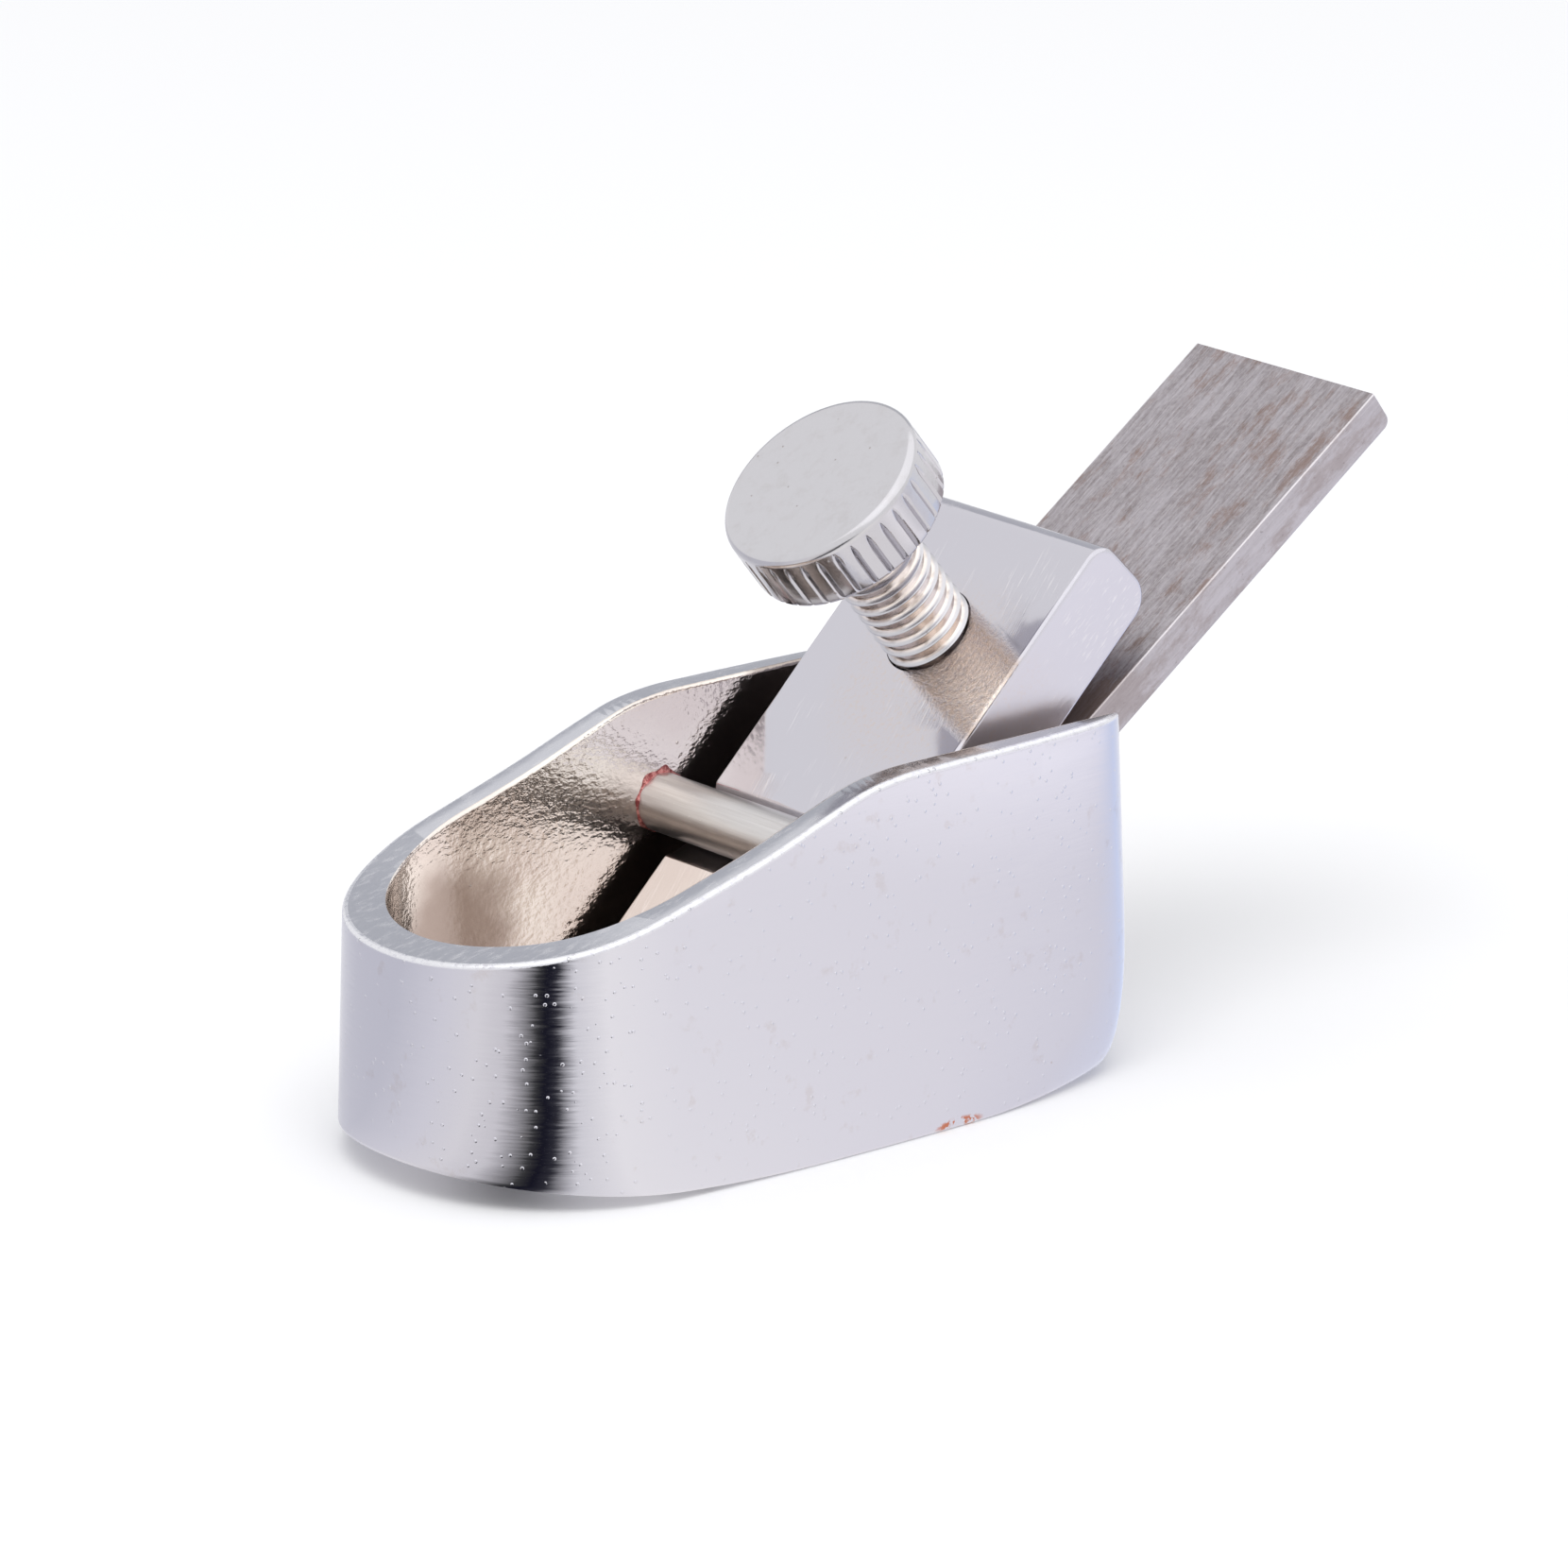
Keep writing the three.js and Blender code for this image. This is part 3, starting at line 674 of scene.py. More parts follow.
def facing_side(tree):
    """1 on the faces that look straight to the left or right of the plane."""
    facing = add_node(tree, "ShaderNodeTexCoord").outputs["Normal"]
    return between(tree, math_of(tree, "ABSOLUTE", axes_of(tree, facing)["Y"]), 0.8, 0.95)


def specks(tree, place, scale, size, share):
    """Small round dots on a share of the cells of a random pattern: 1 in a dot, 0 outside."""
    cells = add_node(tree, "ShaderNodeTexVoronoi", {"Vector": place, "Scale": scale})
    dot = between(tree, cells.outputs["Distance"], size, size * 0.5)
    chosen = add_node(tree, "ShaderNodeSeparateColor", {0: cells.outputs["Color"]}).outputs[0]
    return times(tree, dot, math_of(tree, "LESS_THAN", chosen, share))


# Where a value below is a pair of lengths, a mark begins at the first and is full at the second.
PLATING = (0.670, 0.664, 0.728)
PLATING_ROUGHNESS = 0.08
WORN_EDGE = (0.80, 0.80, 0.84)
WORN_ROUGHNESS = 0.30
WORN_BELOW_RIM = (0.30, 0.17)
STAIN = (0.52, 0.45, 0.42)
COPPER = (0.55, 0.20, 0.12)
RUBBED_PLACE = (4.5, -9.7, 0.2)
RUBBED_STRETCH = (1, 0.2, 4.5)
RUBBED_EDGE = (1.6, 0.9)
HAIRLINE_DEPTH = 0.0009
HAIRLINE_SWAY = 0.15
SWELL_DEPTH = 0.012
PIT_DEPTH = 0.035
DENT_DEPTH = 0.012


def plated_outside():
    """Bright plating over ground metal: hairlines, pits and stains, and a worn line at the rim."""
    material, tree, shader = metal("plated_outside", PLATING, PLATING_ROUGHNESS)
    place = place_mm(tree)
    hairlines = noise_at(tree, place_mm(tree, (0.3, 0.3, 6.5)), scale=1.6, detail=4, roughness=0.65)
    swell = noise_at(tree, place, scale=0.16, detail=2)
    pits = specks(tree, place, scale=2.0, size=0.18, share=0.85)
    dents = noise_at(tree, place_mm(tree, (2.2, 2.2, 1.4), (0, 0.5, 0)), scale=1.8)
    worn = between(tree, noted(tree, "below_rim"), *WORN_BELOW_RIM)
    worn = times(tree, worn, between(tree, dents, 0.25, 0.55))
    blotch = between(tree, noise_at(tree, place, scale=0.9, detail=4, roughness=0.6), 0.60, 0.74)
    fleck = specks(tree, place, scale=0.8, size=0.07, share=0.22)
    rubbed_spot = tuple(at * stretch for at, stretch in zip(RUBBED_PLACE, RUBBED_STRETCH))
    from_rubbed = distance_from(tree, place_mm(tree, RUBBED_STRETCH), rubbed_spot)
    patchy = between(tree, noise_at(tree, place, scale=2.4, detail=4, roughness=0.7), 0.47, 0.55)
    rubbed = times(tree, between(tree, from_rubbed, *RUBBED_EDGE), patchy)
    tone = laid_over(tree, PLATING, blotch, STAIN, strength=0.24)
    tone = laid_over(tree, tone, fleck, STAIN, strength=0.55)
    tone = laid_over(tree, tone, worn, WORN_EDGE)
    tone = laid_over(tree, tone, rubbed, COPPER)
    normal = bumped(tree, hairlines, HAIRLINE_DEPTH)
    normal = bumped(tree, swell, SWELL_DEPTH, normal)
    normal = bumped(tree, pits, PIT_DEPTH, normal)
    normal = bumped(tree, times(tree, dents, worn), DENT_DEPTH, normal)
    normal = swayed(tree, normal, hairlines, HAIRLINE_SWAY)
    wire(tree, shader, tone, normal, between(tree, worn, 0, 1, PLATING_ROUGHNESS, WORN_ROUGHNESS))
    return material


RIM_TONE = (0.59, 0.595, 0.645)
RUBBED_RIM_TONE = (0.68, 0.68, 0.72)
RIM_ROUGHNESS = 0.18
RUBBED_RIM_ROUGHNESS = 0.30
RIM_GRAIN_DEPTH = 0.004


def rim_face():
    """The flat top of the walls, filed before plating and rubbed bright in places."""
    material, tree, shader = metal("rim_face", RIM_TONE, RIM_ROUGHNESS)
    streaks = noise_at(tree, place_mm(tree, (0.8, 2, 1)), scale=1.4, detail=4, roughness=0.65)
    rubbed = between(tree, streaks, 0.45, 0.72)
    tone = laid_over(tree, RIM_TONE, rubbed, RUBBED_RIM_TONE)
    normal = bumped(tree, noise_at(tree, place_mm(tree), scale=2.8), RIM_GRAIN_DEPTH)
    wire(tree, shader, tone, normal, between(tree, rubbed, 0, 1, RIM_ROUGHNESS, RUBBED_RIM_ROUGHNESS))
    return material


CAST_TONE = (0.83, 0.75, 0.70)
PALE_CAST_TONE = (0.93, 0.87, 0.81)
CAST_ROUGHNESS = 0.14
SMOOTH_SPOT_PLACE = (-10.2, 7.4, 7.4)
SMOOTH_SPOT_EDGE = (6.0, 3.0)
SMOOTH_SPOT_WAVER = 2.4
SMOOTH_SPOT_TONE = (0.40, 0.32, 0.28)
# Painted shade: the far wall beside the cap is darkened where the narrow gap between them lies in shade.
BESIDE_CAP_AHEAD = (1.6, 0.4)
FAR_WALL_Y = (2, 5)
CAP_GAP_SHADE_TONE = (0.30, 0.25, 0.23)
DULLED_Y = (-5, -7.2)
DULLED_X = (-2, 8)
DULLED_ROUGHNESS = 0.5
PEEL_DEPTH = 0.038
GRAIN_DEPTH = 0.004
NODULE_DEPTH = 0.02
PEEL_LEFT_SHARE = 0.35


def as_cast():
    """Warm nickel over the rough skin that the casting sand left, with one smooth spot, and painted shade
    on the far wall beside the cap.
    """
    material, tree, shader = metal("as_cast", CAST_TONE, CAST_ROUGHNESS)
    place = place_mm(tree)
    axes = axes_of(tree, place)
    patch = between(tree, noise_at(tree, place, scale=0.14, detail=1), 0.42, 0.58)
    waver = times(tree, noise_at(tree, place, scale=0.5, detail=2), SMOOTH_SPOT_WAVER)
    from_smooth = math_of(tree, "ADD", distance_from(tree, place, SMOOTH_SPOT_PLACE), waver)
    smooth_spot = between(tree, from_smooth, *SMOOTH_SPOT_EDGE)
    # Painted shade on the far wall in the gap beside the cap.
    past_cap = math_of(tree, "SUBTRACT", axes["X"], times(tree, axes["Z"], 1 / math.tan(CAP_PITCH)))
    begins, full = (-CAP_PLANE_AHEAD - ahead for ahead in BESIDE_CAP_AHEAD)
    painted_gap_shade = times(tree, between(tree, past_cap, begins, full), between(tree, axes["Y"], *FAR_WALL_Y))
    dulled = times(tree, between(tree, axes["Y"], *DULLED_Y), between(tree, axes["X"], *DULLED_X))
    tone = laid_over(tree, CAST_TONE, patch, PALE_CAST_TONE)
    tone = laid_over(tree, tone, smooth_spot, SMOOTH_SPOT_TONE, strength=0.9)
    tone = laid_over(tree, tone, painted_gap_shade, CAP_GAP_SHADE_TONE, strength=0.75)
    peel = noise_at(tree, place_mm(tree, (0.8, 1, 1.25)), scale=3.4, detail=2, roughness=0.5)
    peel = times(tree, peel, between(tree, smooth_spot, 0, 1, 1, PEEL_LEFT_SHARE))
    nodules = specks(tree, place, scale=1.1, size=0.09, share=0.3)
    normal = bumped(tree, peel, PEEL_DEPTH)
    normal = bumped(tree, noise_at(tree, place, scale=9, detail=2), GRAIN_DEPTH, normal)
    normal = bumped(tree, nodules, NODULE_DEPTH, normal)
    wire(tree, shader, tone, normal, between(tree, dulled, 0, 1, CAST_ROUGHNESS, DULLED_ROUGHNESS))
    return material


def on_slope(ahead, pitch, up, out):
    """A point so far up a slope and so far out from it, as (x, z). It starts ahead of the origin."""
    x = -ahead + up * math.cos(pitch) - out * math.sin(pitch)
    return x, up * math.sin(pitch) + out * math.cos(pitch)


def on_iron(up, out):
    """A point so far up from the iron's edge and so far out from its upper face, as (x, z)."""
    return on_slope(IRON_EDGE_AHEAD, IRON_PITCH, up, out)


bare_cast = as_cast()
bed_drop = IRON_THICKNESS + IRON_SEAT_GAP
hull = skin("plane_casting", hull_rings(), [plated_outside(), rim_face()], top_material=1)
hollow = skin("hollow", pocket_rings(), [bare_cast])
bed_low = on_iron(-body_length / 2, -bed_drop)
bed_high = on_iron(IRON_LENGTH, -bed_drop)
clear_height = bed_high[1] + CUT_OVERRUN
front = toe_x - CUT_OVERRUN
above_bed = prism(
    "above_bed",
    [bed_low, bed_high, (bed_high[0], clear_height), (front, clear_height), (front, bed_low[1])],
    BODY_WIDTH,
    [bare_cast],
)
cut(hollow, above_bed, "INTERSECT")
cut(hull, hollow)

# The mouth is a wedge between the bed and a lip that leans the other way. They meet below the sole.
mouth_top = FLOOR_HEIGHT + CUT_OVERRUN
bed_run = 1 / math.tan(IRON_PITCH)
bed_x = -IRON_EDGE_AHEAD + bed_drop / math.sin(IRON_PITCH)
lip_x = -IRON_EDGE_AHEAD - MOUTH_GAP
meeting = (lip_x - bed_x) / (bed_run + MOUTH_LEAN)
mouth = prism(
    "mouth",
    [
        (bed_x + meeting * bed_run, meeting),
        (bed_x + mouth_top * bed_run, mouth_top),
        (lip_x - mouth_top * MOUTH_LEAN, mouth_top),
    ],
    cap_half_width + MOUTH_SIDE_GAP,
    [bare_cast],
)
cut(hull, mouth)

depth = hull.data.attributes.new("below_rim", "FLOAT", "POINT")
for vertex, item in zip(hull.data.vertices, depth.data):
    item.value = rim_height_at(vertex.co.x / MM) - vertex.co.z / MM
finish_piece(hull, "plane", "plane_body")


# Cross pin
# A drawn steel bar across the pocket, let into a blind seat in either wall. The lever cap bears
# up against it.
PIN_PLACE = 15.7
PIN_DIAMETER = 2.7
PIN_ABOVE_FACE = 0.77
PIN_SEAT_DEPTH = 1.1
PIN_END_CHAMFER = 0.2
PIN_SIDES = 96
PIN_TONE = (0.61, 0.585, 0.58)
PALE_PIN_TONE = (0.71, 0.69, 0.69)
PIN_SCRATCH_TONE = (0.85, 0.83, 0.81)
PIN_ROUGHNESS = 0.32
DRAWN_LINE_DEPTH = 0.0012
PIN_SCRATCH_DEPTH = 0.004


def on_cap(up, out):
    """A point so far up the lever cap's slope and so far out from its face, as (x, z)."""
    return on_slope(CAP_PLANE_AHEAD, CAP_PITCH, up, out)


def turned(name, profile, sides, place, materials, reach_at=None):
    """A round piece from (radius, height) pairs, bottom to top, that start and end on its axis.

    reach_at, if given, works out the radius again from the radius, share of a turn and height.
    """
    inner = profile[1:-1]
    vertices = [Vector((0, 0, profile[0][1])), Vector((0, 0, profile[-1][1]))]
    for radius, height in inner:
        for i in range(sides):
            angle = 2 * math.pi * i / sides
            reach = reach_at(radius, i / sides, height) if reach_at else radius
            vertices.append(Vector((reach * math.cos(angle), reach * math.sin(angle), height)))
    faces = []
    last = 2 + (len(inner) - 1) * sides
    for i in range(sides):
        after = (i + 1) % sides
        faces.append((0, 2 + after, 2 + i))
        faces.append((1, last + i, last + after))
        for level in range(len(inner) - 1):
            low = 2 + level * sides
            faces.append((low + i, low + after, low + sides + after, low + sides + i))
    return add_object(name, vertices, faces, materials, place)


def drawn_steel():
    """Steel drawn through a die, with fine lines round it and some bright scratches along it."""
    material, tree, shader = metal("drawn_steel", PIN_TONE, PIN_ROUGHNESS)
    lines = noise_at(tree, place_mm(tree, (0.8, 9, 0.8)), scale=1.2, detail=4, roughness=0.6)
    streaks = noise_at(tree, place_mm(tree, (4, 0.12, 4)), scale=1.6, detail=4, roughness=0.65)
    scratch_place = place_mm(tree, (2.5, 1.1, 2.5), (0.7, 0, 0))
    scratches = noise_at(tree, scratch_place, scale=2.2, detail=5, roughness=0.7)
    scratched = between(tree, scratches, 0.63, 0.70)
    tone = laid_over(tree, PIN_TONE, between(tree, streaks, 0.30, 0.70), PALE_PIN_TONE)
    tone = laid_over(tree, tone, scratched, PIN_SCRATCH_TONE, strength=0.5)
    normal = bumped(tree, lines, DRAWN_LINE_DEPTH)
    normal = bumped(tree, scratched, PIN_SCRATCH_DEPTH, normal)
    wire(tree, shader, tone, normal)
    return material


pin_x, pin_z = on_cap(PIN_PLACE, PIN_ABOVE_FACE)
pin_centre = Vector((pin_x, 0, pin_z))
pin_radius = PIN_DIAMETER / 2
pin_half_length = pocket_half_width + PIN_SEAT_DEPTH
pin = turned(
    "cross_pin_bar",
    [
        (0, -pin_half_length),
        (pin_radius - PIN_END_CHAMFER, -pin_half_length),
        (pin_radius, PIN_END_CHAMFER - pin_half_length),
        (pin_radius, pin_half_length - PIN_END_CHAMFER),
        (pin_radius - PIN_END_CHAMFER, pin_half_length),
        (0, pin_half_length),
    ],
    PIN_SIDES,
    Matrix.Translation(pin_centre * MM) @ Matrix.Rotation(math.pi / 2, 4, "X"),
    [drawn_steel()],
)
finish_piece(pin, "plane", "cross_pin")


# Braze rings
# Thin fillets of copper-red braze where the pin enters the walls, uneven from the torch. They
# sink a little into pin and wall.
BRAZE_REACH = 0.34
BRAZE_HEIGHT = 0.2
BRAZE_FULLNESS = 0.85
BRAZE_UNEVENNESS = 0.55
BRAZE_LUMPS = 3.1
BRAZE_OVERLAP = 0.02
BRAZE_SINK = 0.03
BRAZE_RIPPLE = 0.02
BRAZE_RIPPLES = 9
BRAZE_STEPS = 96
BRAZE_SECTION_STEPS = 6
BRAZE_SEED_STEP = 5
BRAZE_TONE = (0.33, 0.09, 0.09)
PALE_BRAZE_TONE = (0.74, 0.33, 0.31)
BRAZE_ROUGHNESS = 0.34
BRAZE_GRAIN_DEPTH = 0.05


def brazing():
    """Copper-red braze, dull and grainy."""
    material, tree, shader = metal("brazing", BRAZE_TONE, BRAZE_ROUGHNESS)
    grain = noise_at(tree, place_mm(tree), scale=4, detail=4, roughness=0.7)
    tone = laid_over(tree, BRAZE_TONE, between(tree, grain, 0.42, 0.62), PALE_BRAZE_TONE)
    wire(tree, shader, tone, bumped(tree, grain, BRAZE_GRAIN_DEPTH))
    return material


def braze_ring(name, side, material):
    """A thin uneven fillet of braze between the pin and one wall."""
    wall = side * (pocket_half_width - (HEEL_RIM_HEIGHT - pin_z) * POCKET_LEAN)
    seed = Vector((side * BRAZE_SEED_STEP, 0, 0))
    vertices = []
    for i in range(BRAZE_STEPS):
        angle = 2 * math.pi * i / BRAZE_STEPS
        direction = Vector((math.cos(angle), 0, math.sin(angle)))
        fullness = BRAZE_FULLNESS + BRAZE_UNEVENNESS * noise.noise(direction * BRAZE_LUMPS + seed)
        for k, (sine, cosine) in enumerate(quarter_turn(BRAZE_SECTION_STEPS)):
            reach = pin_radius - BRAZE_OVERLAP + BRAZE_REACH * fullness * (1 - sine)
            rise = BRAZE_HEIGHT * fullness * (1 - cosine) - BRAZE_SINK
            reach += BRAZE_RIPPLE * noise.noise(Vector((angle * BRAZE_RIPPLES, k, side)))
            vertices.append(pin_centre + direction * reach + Vector((0, wall - side * rise, 0)))
        buried = Vector((0, wall + side * BRAZE_SINK, 0))
        vertices.append(pin_centre + direction * (pin_radius - BRAZE_OVERLAP) + buried)
    row = BRAZE_SECTION_STEPS + 2
    faces = []
    for i in range(BRAZE_STEPS):
        after = (i + 1) % BRAZE_STEPS
        for k in range(row):
            up = (k + 1) % row
            faces.append((i * row + k, after * row + k, after * row + up, i * row + up))
    ring = add_object(name, vertices, faces, [material])
    face_outwards(ring)
    finish_piece(ring, "plane", None, sharp_deg=60)


red_braze = brazing()
braze_ring("braze_ring_far", 1, red_braze)
braze_ring("braze_ring_near", -1, red_braze)


# Iron
# A flat tool-steel blade with one bevel at its edge, surface-ground along its length and left
# bare, so it has dark grinding lines and light rust.
IRON_BEVEL = math.radians(25)
IRON_BACK_ROUND = 0.45
EDGE_SETBACK = 0.15
IRON_EDGE_BREAK = 0.07
IRON_TONE = (0.265, 0.235, 0.245)
PALE_IRON_TONE = (0.46, 0.43, 0.465)
FINE_LINE_TONE = (0.61, 0.575, 0.61)
IRON_SIDE_TONE = (0.62, 0.59, 0.62)
IRON_SPECK_TONE = (0.60, 0.565, 0.59)
IRON_PIT_TONE = (0.20, 0.165, 0.165)
RUST_AND_SHADE_TONE = (0.27, 0.185, 0.155)
# A painted glint: a pale line just inside each side edge of the blade's faces.
IRON_EDGE_GLINT_TONE = (0.82, 0.80, 0.83)
IRON_ROUGHNESS = 0.40
RUST_ROUGHNESS = 0.60
# Painted shade: where the cap shades the iron, between these places along X, the iron gets extra rusty
# colour.
CAP_SHADE_BEHIND_X = (7, 12)
CAP_SHADE_BEFORE_X = (21, 16)
CAP_SHADE_BY = 0.14
RUST_SHARE = 0.70
SIDE_RUST_SHARE = 0.45
IRON_EDGE_GLINT = (0.13, 0.05)
LONG_LINE_DEPTH = 0.006
FINE_LINE_DEPTH = 0.004


def ground_steel():
    """Bare steel with long grinding lines, pits, specks and rusty spots, painted shade in rusty colour by
    the cap, and a painted glint along the side edges.
    """
    material, tree, shader = metal("ground_steel", IRON_TONE, IRON_ROUGHNESS)

    def along_blade(stretch, **pattern):
        """Noise that is stretched along the blade."""
        return noise_at(tree, place_mm(tree, stretch, (0, IRON_PITCH, 0)), **pattern)

    axes = axes_of(tree, place_mm(tree))
    on_side = facing_side(tree)
    off_side = math_of(tree, "SUBTRACT", 1, on_side)
    long_lines = along_blade((0.28, 2.6, 2.6), scale=1.5, detail=6, roughness=0.72)
    fine_lines = along_blade((0.6, 8, 8), scale=1.5, detail=4, roughness=0.65)
    specked = between(tree, along_blade((0.8, 1, 1), scale=5, roughness=0.7), 0.40, 0.68)
    pitted = between(tree, along_blade((0.6, 1, 1), scale=4, roughness=0.7), 0.60, 0.72)
    # Painted shade by the cap, added to the rust pattern so that it shows in rusty colour.
    painted_cap_shade = times(
        tree,
        between(tree, axes["X"], *CAP_SHADE_BEFORE_X, 0, CAP_SHADE_BY),
        between(tree, axes["X"], *CAP_SHADE_BEHIND_X),
    )
    rust_and_shade = math_of(tree, "ADD", along_blade((0.4, 1, 1), scale=0.6, detail=8, roughness=0.76), painted_cap_shade)
    rust_and_shade = between(tree, rust_and_shade, 0.49, 0.64, 0, RUST_SHARE)
    rust_and_shade = times(tree, rust_and_shade, between(tree, off_side, 0, 1, SIDE_RUST_SHARE, 1))
    # Painted glint along the side edges of the blade's faces.
    glint_begins, glint_full = (iron_half_width - inset for inset in IRON_EDGE_GLINT)
    painted_edge_glint = between(tree, math_of(tree, "ABSOLUTE", axes["Y"]), glint_begins, glint_full)

    tone = laid_over(tree, IRON_TONE, between(tree, long_lines, 0.32, 0.68), PALE_IRON_TONE)
    tone = laid_over(tree, tone, between(tree, fine_lines, 0.50, 0.74), FINE_LINE_TONE, strength=0.6)
    tone = laid_over(tree, tone, on_side, IRON_SIDE_TONE, strength=0.55)
    tone = laid_over(tree, tone, specked, IRON_SPECK_TONE, strength=0.30)
    tone = laid_over(tree, tone, pitted, IRON_PIT_TONE, strength=0.45)
    tone = laid_over(tree, tone, rust_and_shade, RUST_AND_SHADE_TONE)
    tone = laid_over(tree, tone, times(tree, painted_edge_glint, off_side), IRON_EDGE_GLINT_TONE, strength=0.5)
    normal = bumped(tree, fine_lines, FINE_LINE_DEPTH)
    normal = bumped(tree, long_lines, LONG_LINE_DEPTH, normal)
    wire(tree, shader, tone, normal, between(tree, rust_and_shade, 0, 0.66, IRON_ROUGHNESS, RUST_ROUGHNESS))
    return material


def arc(centre, radius, from_angle, to_angle, steps):
    points = []
    for i in range(steps + 1):
        angle = from_angle + (to_angle - from_angle) * i / steps
        points.append((centre[0] + radius * math.cos(angle), centre[1] + radius * math.sin(angle)))
    return points


def break_edges(piece, width, segments, half_width):
    """Rounds every edge where the side faces of a bar meet the rest."""
    mesh = bmesh.new()
    mesh.from_mesh(piece.data)
    rims = [
        edge
        for edge in mesh.edges
        if all(abs(abs(v.co.y) - half_width * MM) < width * MM / 10 for v in edge.verts)
        and edge.verts[0].co.y * edge.verts[1].co.y > 0
    ]
    bmesh.ops.bevel(
        mesh,
        geom=rims,
        offset=width * MM,
        segments=segments,
        profile=0.5,
        affect="EDGES",
        clamp_overlap=True,
    )
    mesh.to_mesh(piece.data)
    mesh.free()


quarter = math.pi / 2
bevel_run = IRON_THICKNESS / math.tan(IRON_BEVEL)
back_corner = (IRON_LENGTH - IRON_BACK_ROUND, IRON_BACK_ROUND - IRON_THICKNESS)
iron_profile = [
    (EDGE_SETBACK, 0),
    (EDGE_SETBACK + bevel_run, -IRON_THICKNESS),
    *arc(back_corner, IRON_BACK_ROUND, -quarter, 0, steps=6),
    (IRON_LENGTH, 0),
]
blade = prism("iron_blade", [on_iron(*point) for point in iron_profile], iron_half_width, [ground_steel()])
break_edges(blade, IRON_EDGE_BREAK, 2, iron_half_width)
finish_piece(blade, "iron", "iron")


# Lever cap
# A plated bar with a groove across its face for the pin, a nose that bears on the iron, and a
# tapped hole for the thumbscrew. Its face is ground by hand before plating.
CAP_TOP = 34.6
CAP_NOSE = 4.3
CAP_TAPER_START = 24
CAP_THICKNESS = 4.3
CAP_EDGE_ROUND = 0.22
CAP_FRONT_ROUND = 1.1
CAP_BACK_ROUND = 1.35
NOSE_GAP = 0.12
NOSE_ROUND = 0.5
GROOVE_GAP = 0.13
GROOVE_RADIUS = 3.25
GROOVE_LIP = 0.3
SCREW_PLACE = 27.85
SCREW_LEAN = math.radians(5.4)
SHANK_DIAMETER = 4.3
HOLE_GAP = 0.06
HOLE_SIDES = 96
CAP_TONE = (0.602, 0.589, 0.645)
CAP_SIDE_TONE = (0.655, 0.645, 0.71)
CAP_NOSE_TONE = (0.80, 0.73, 0.67)
CAP_NICK_TONE = (0.42, 0.37, 0.34)
CAP_SCRATCH_TONE = (0.86, 0.84, 0.86)
CAP_ROUGHNESS = 0.09
MATT_CAP_ROUGHNESS = 0.28
SIDE_MATTNESS = 2.2
STRIP_MATTNESS = 1.9
BELOW_PIN_Z = (10.4, 9.4)
# Painted reflection of the screw in the cap's face: brown grain round its foot, and a strip beside it that
# is pale in the middle and darker brown at its edges.
SCREW_REFLECTION_PLACE = (10.2, -1.6, 17)
SCREW_REFLECTION_EDGE = (6.4, 3.2)
SCREW_REFLECTION_TONE = (0.66, 0.53, 0.44)
STRIP_LEAN = -0.36
STRIP_EDGE = (2.6, 1.7)
STRIP_END_Y = (0.5, -1.5)
REFLECTION_STRIP_TONE = (1, 0.86, 0.76)
REFLECTION_STRIP_EDGE_TONE = (0.58, 0.46, 0.39)
STRIP_TONE_CHANGE = (0.4, 2.2)
GROUND_LINE_DEPTH = 0.010
GRIT_DEPTH = 0.09
CAP_WAVE_DEPTH = 0.010
NICK_DEPTH = 0.010


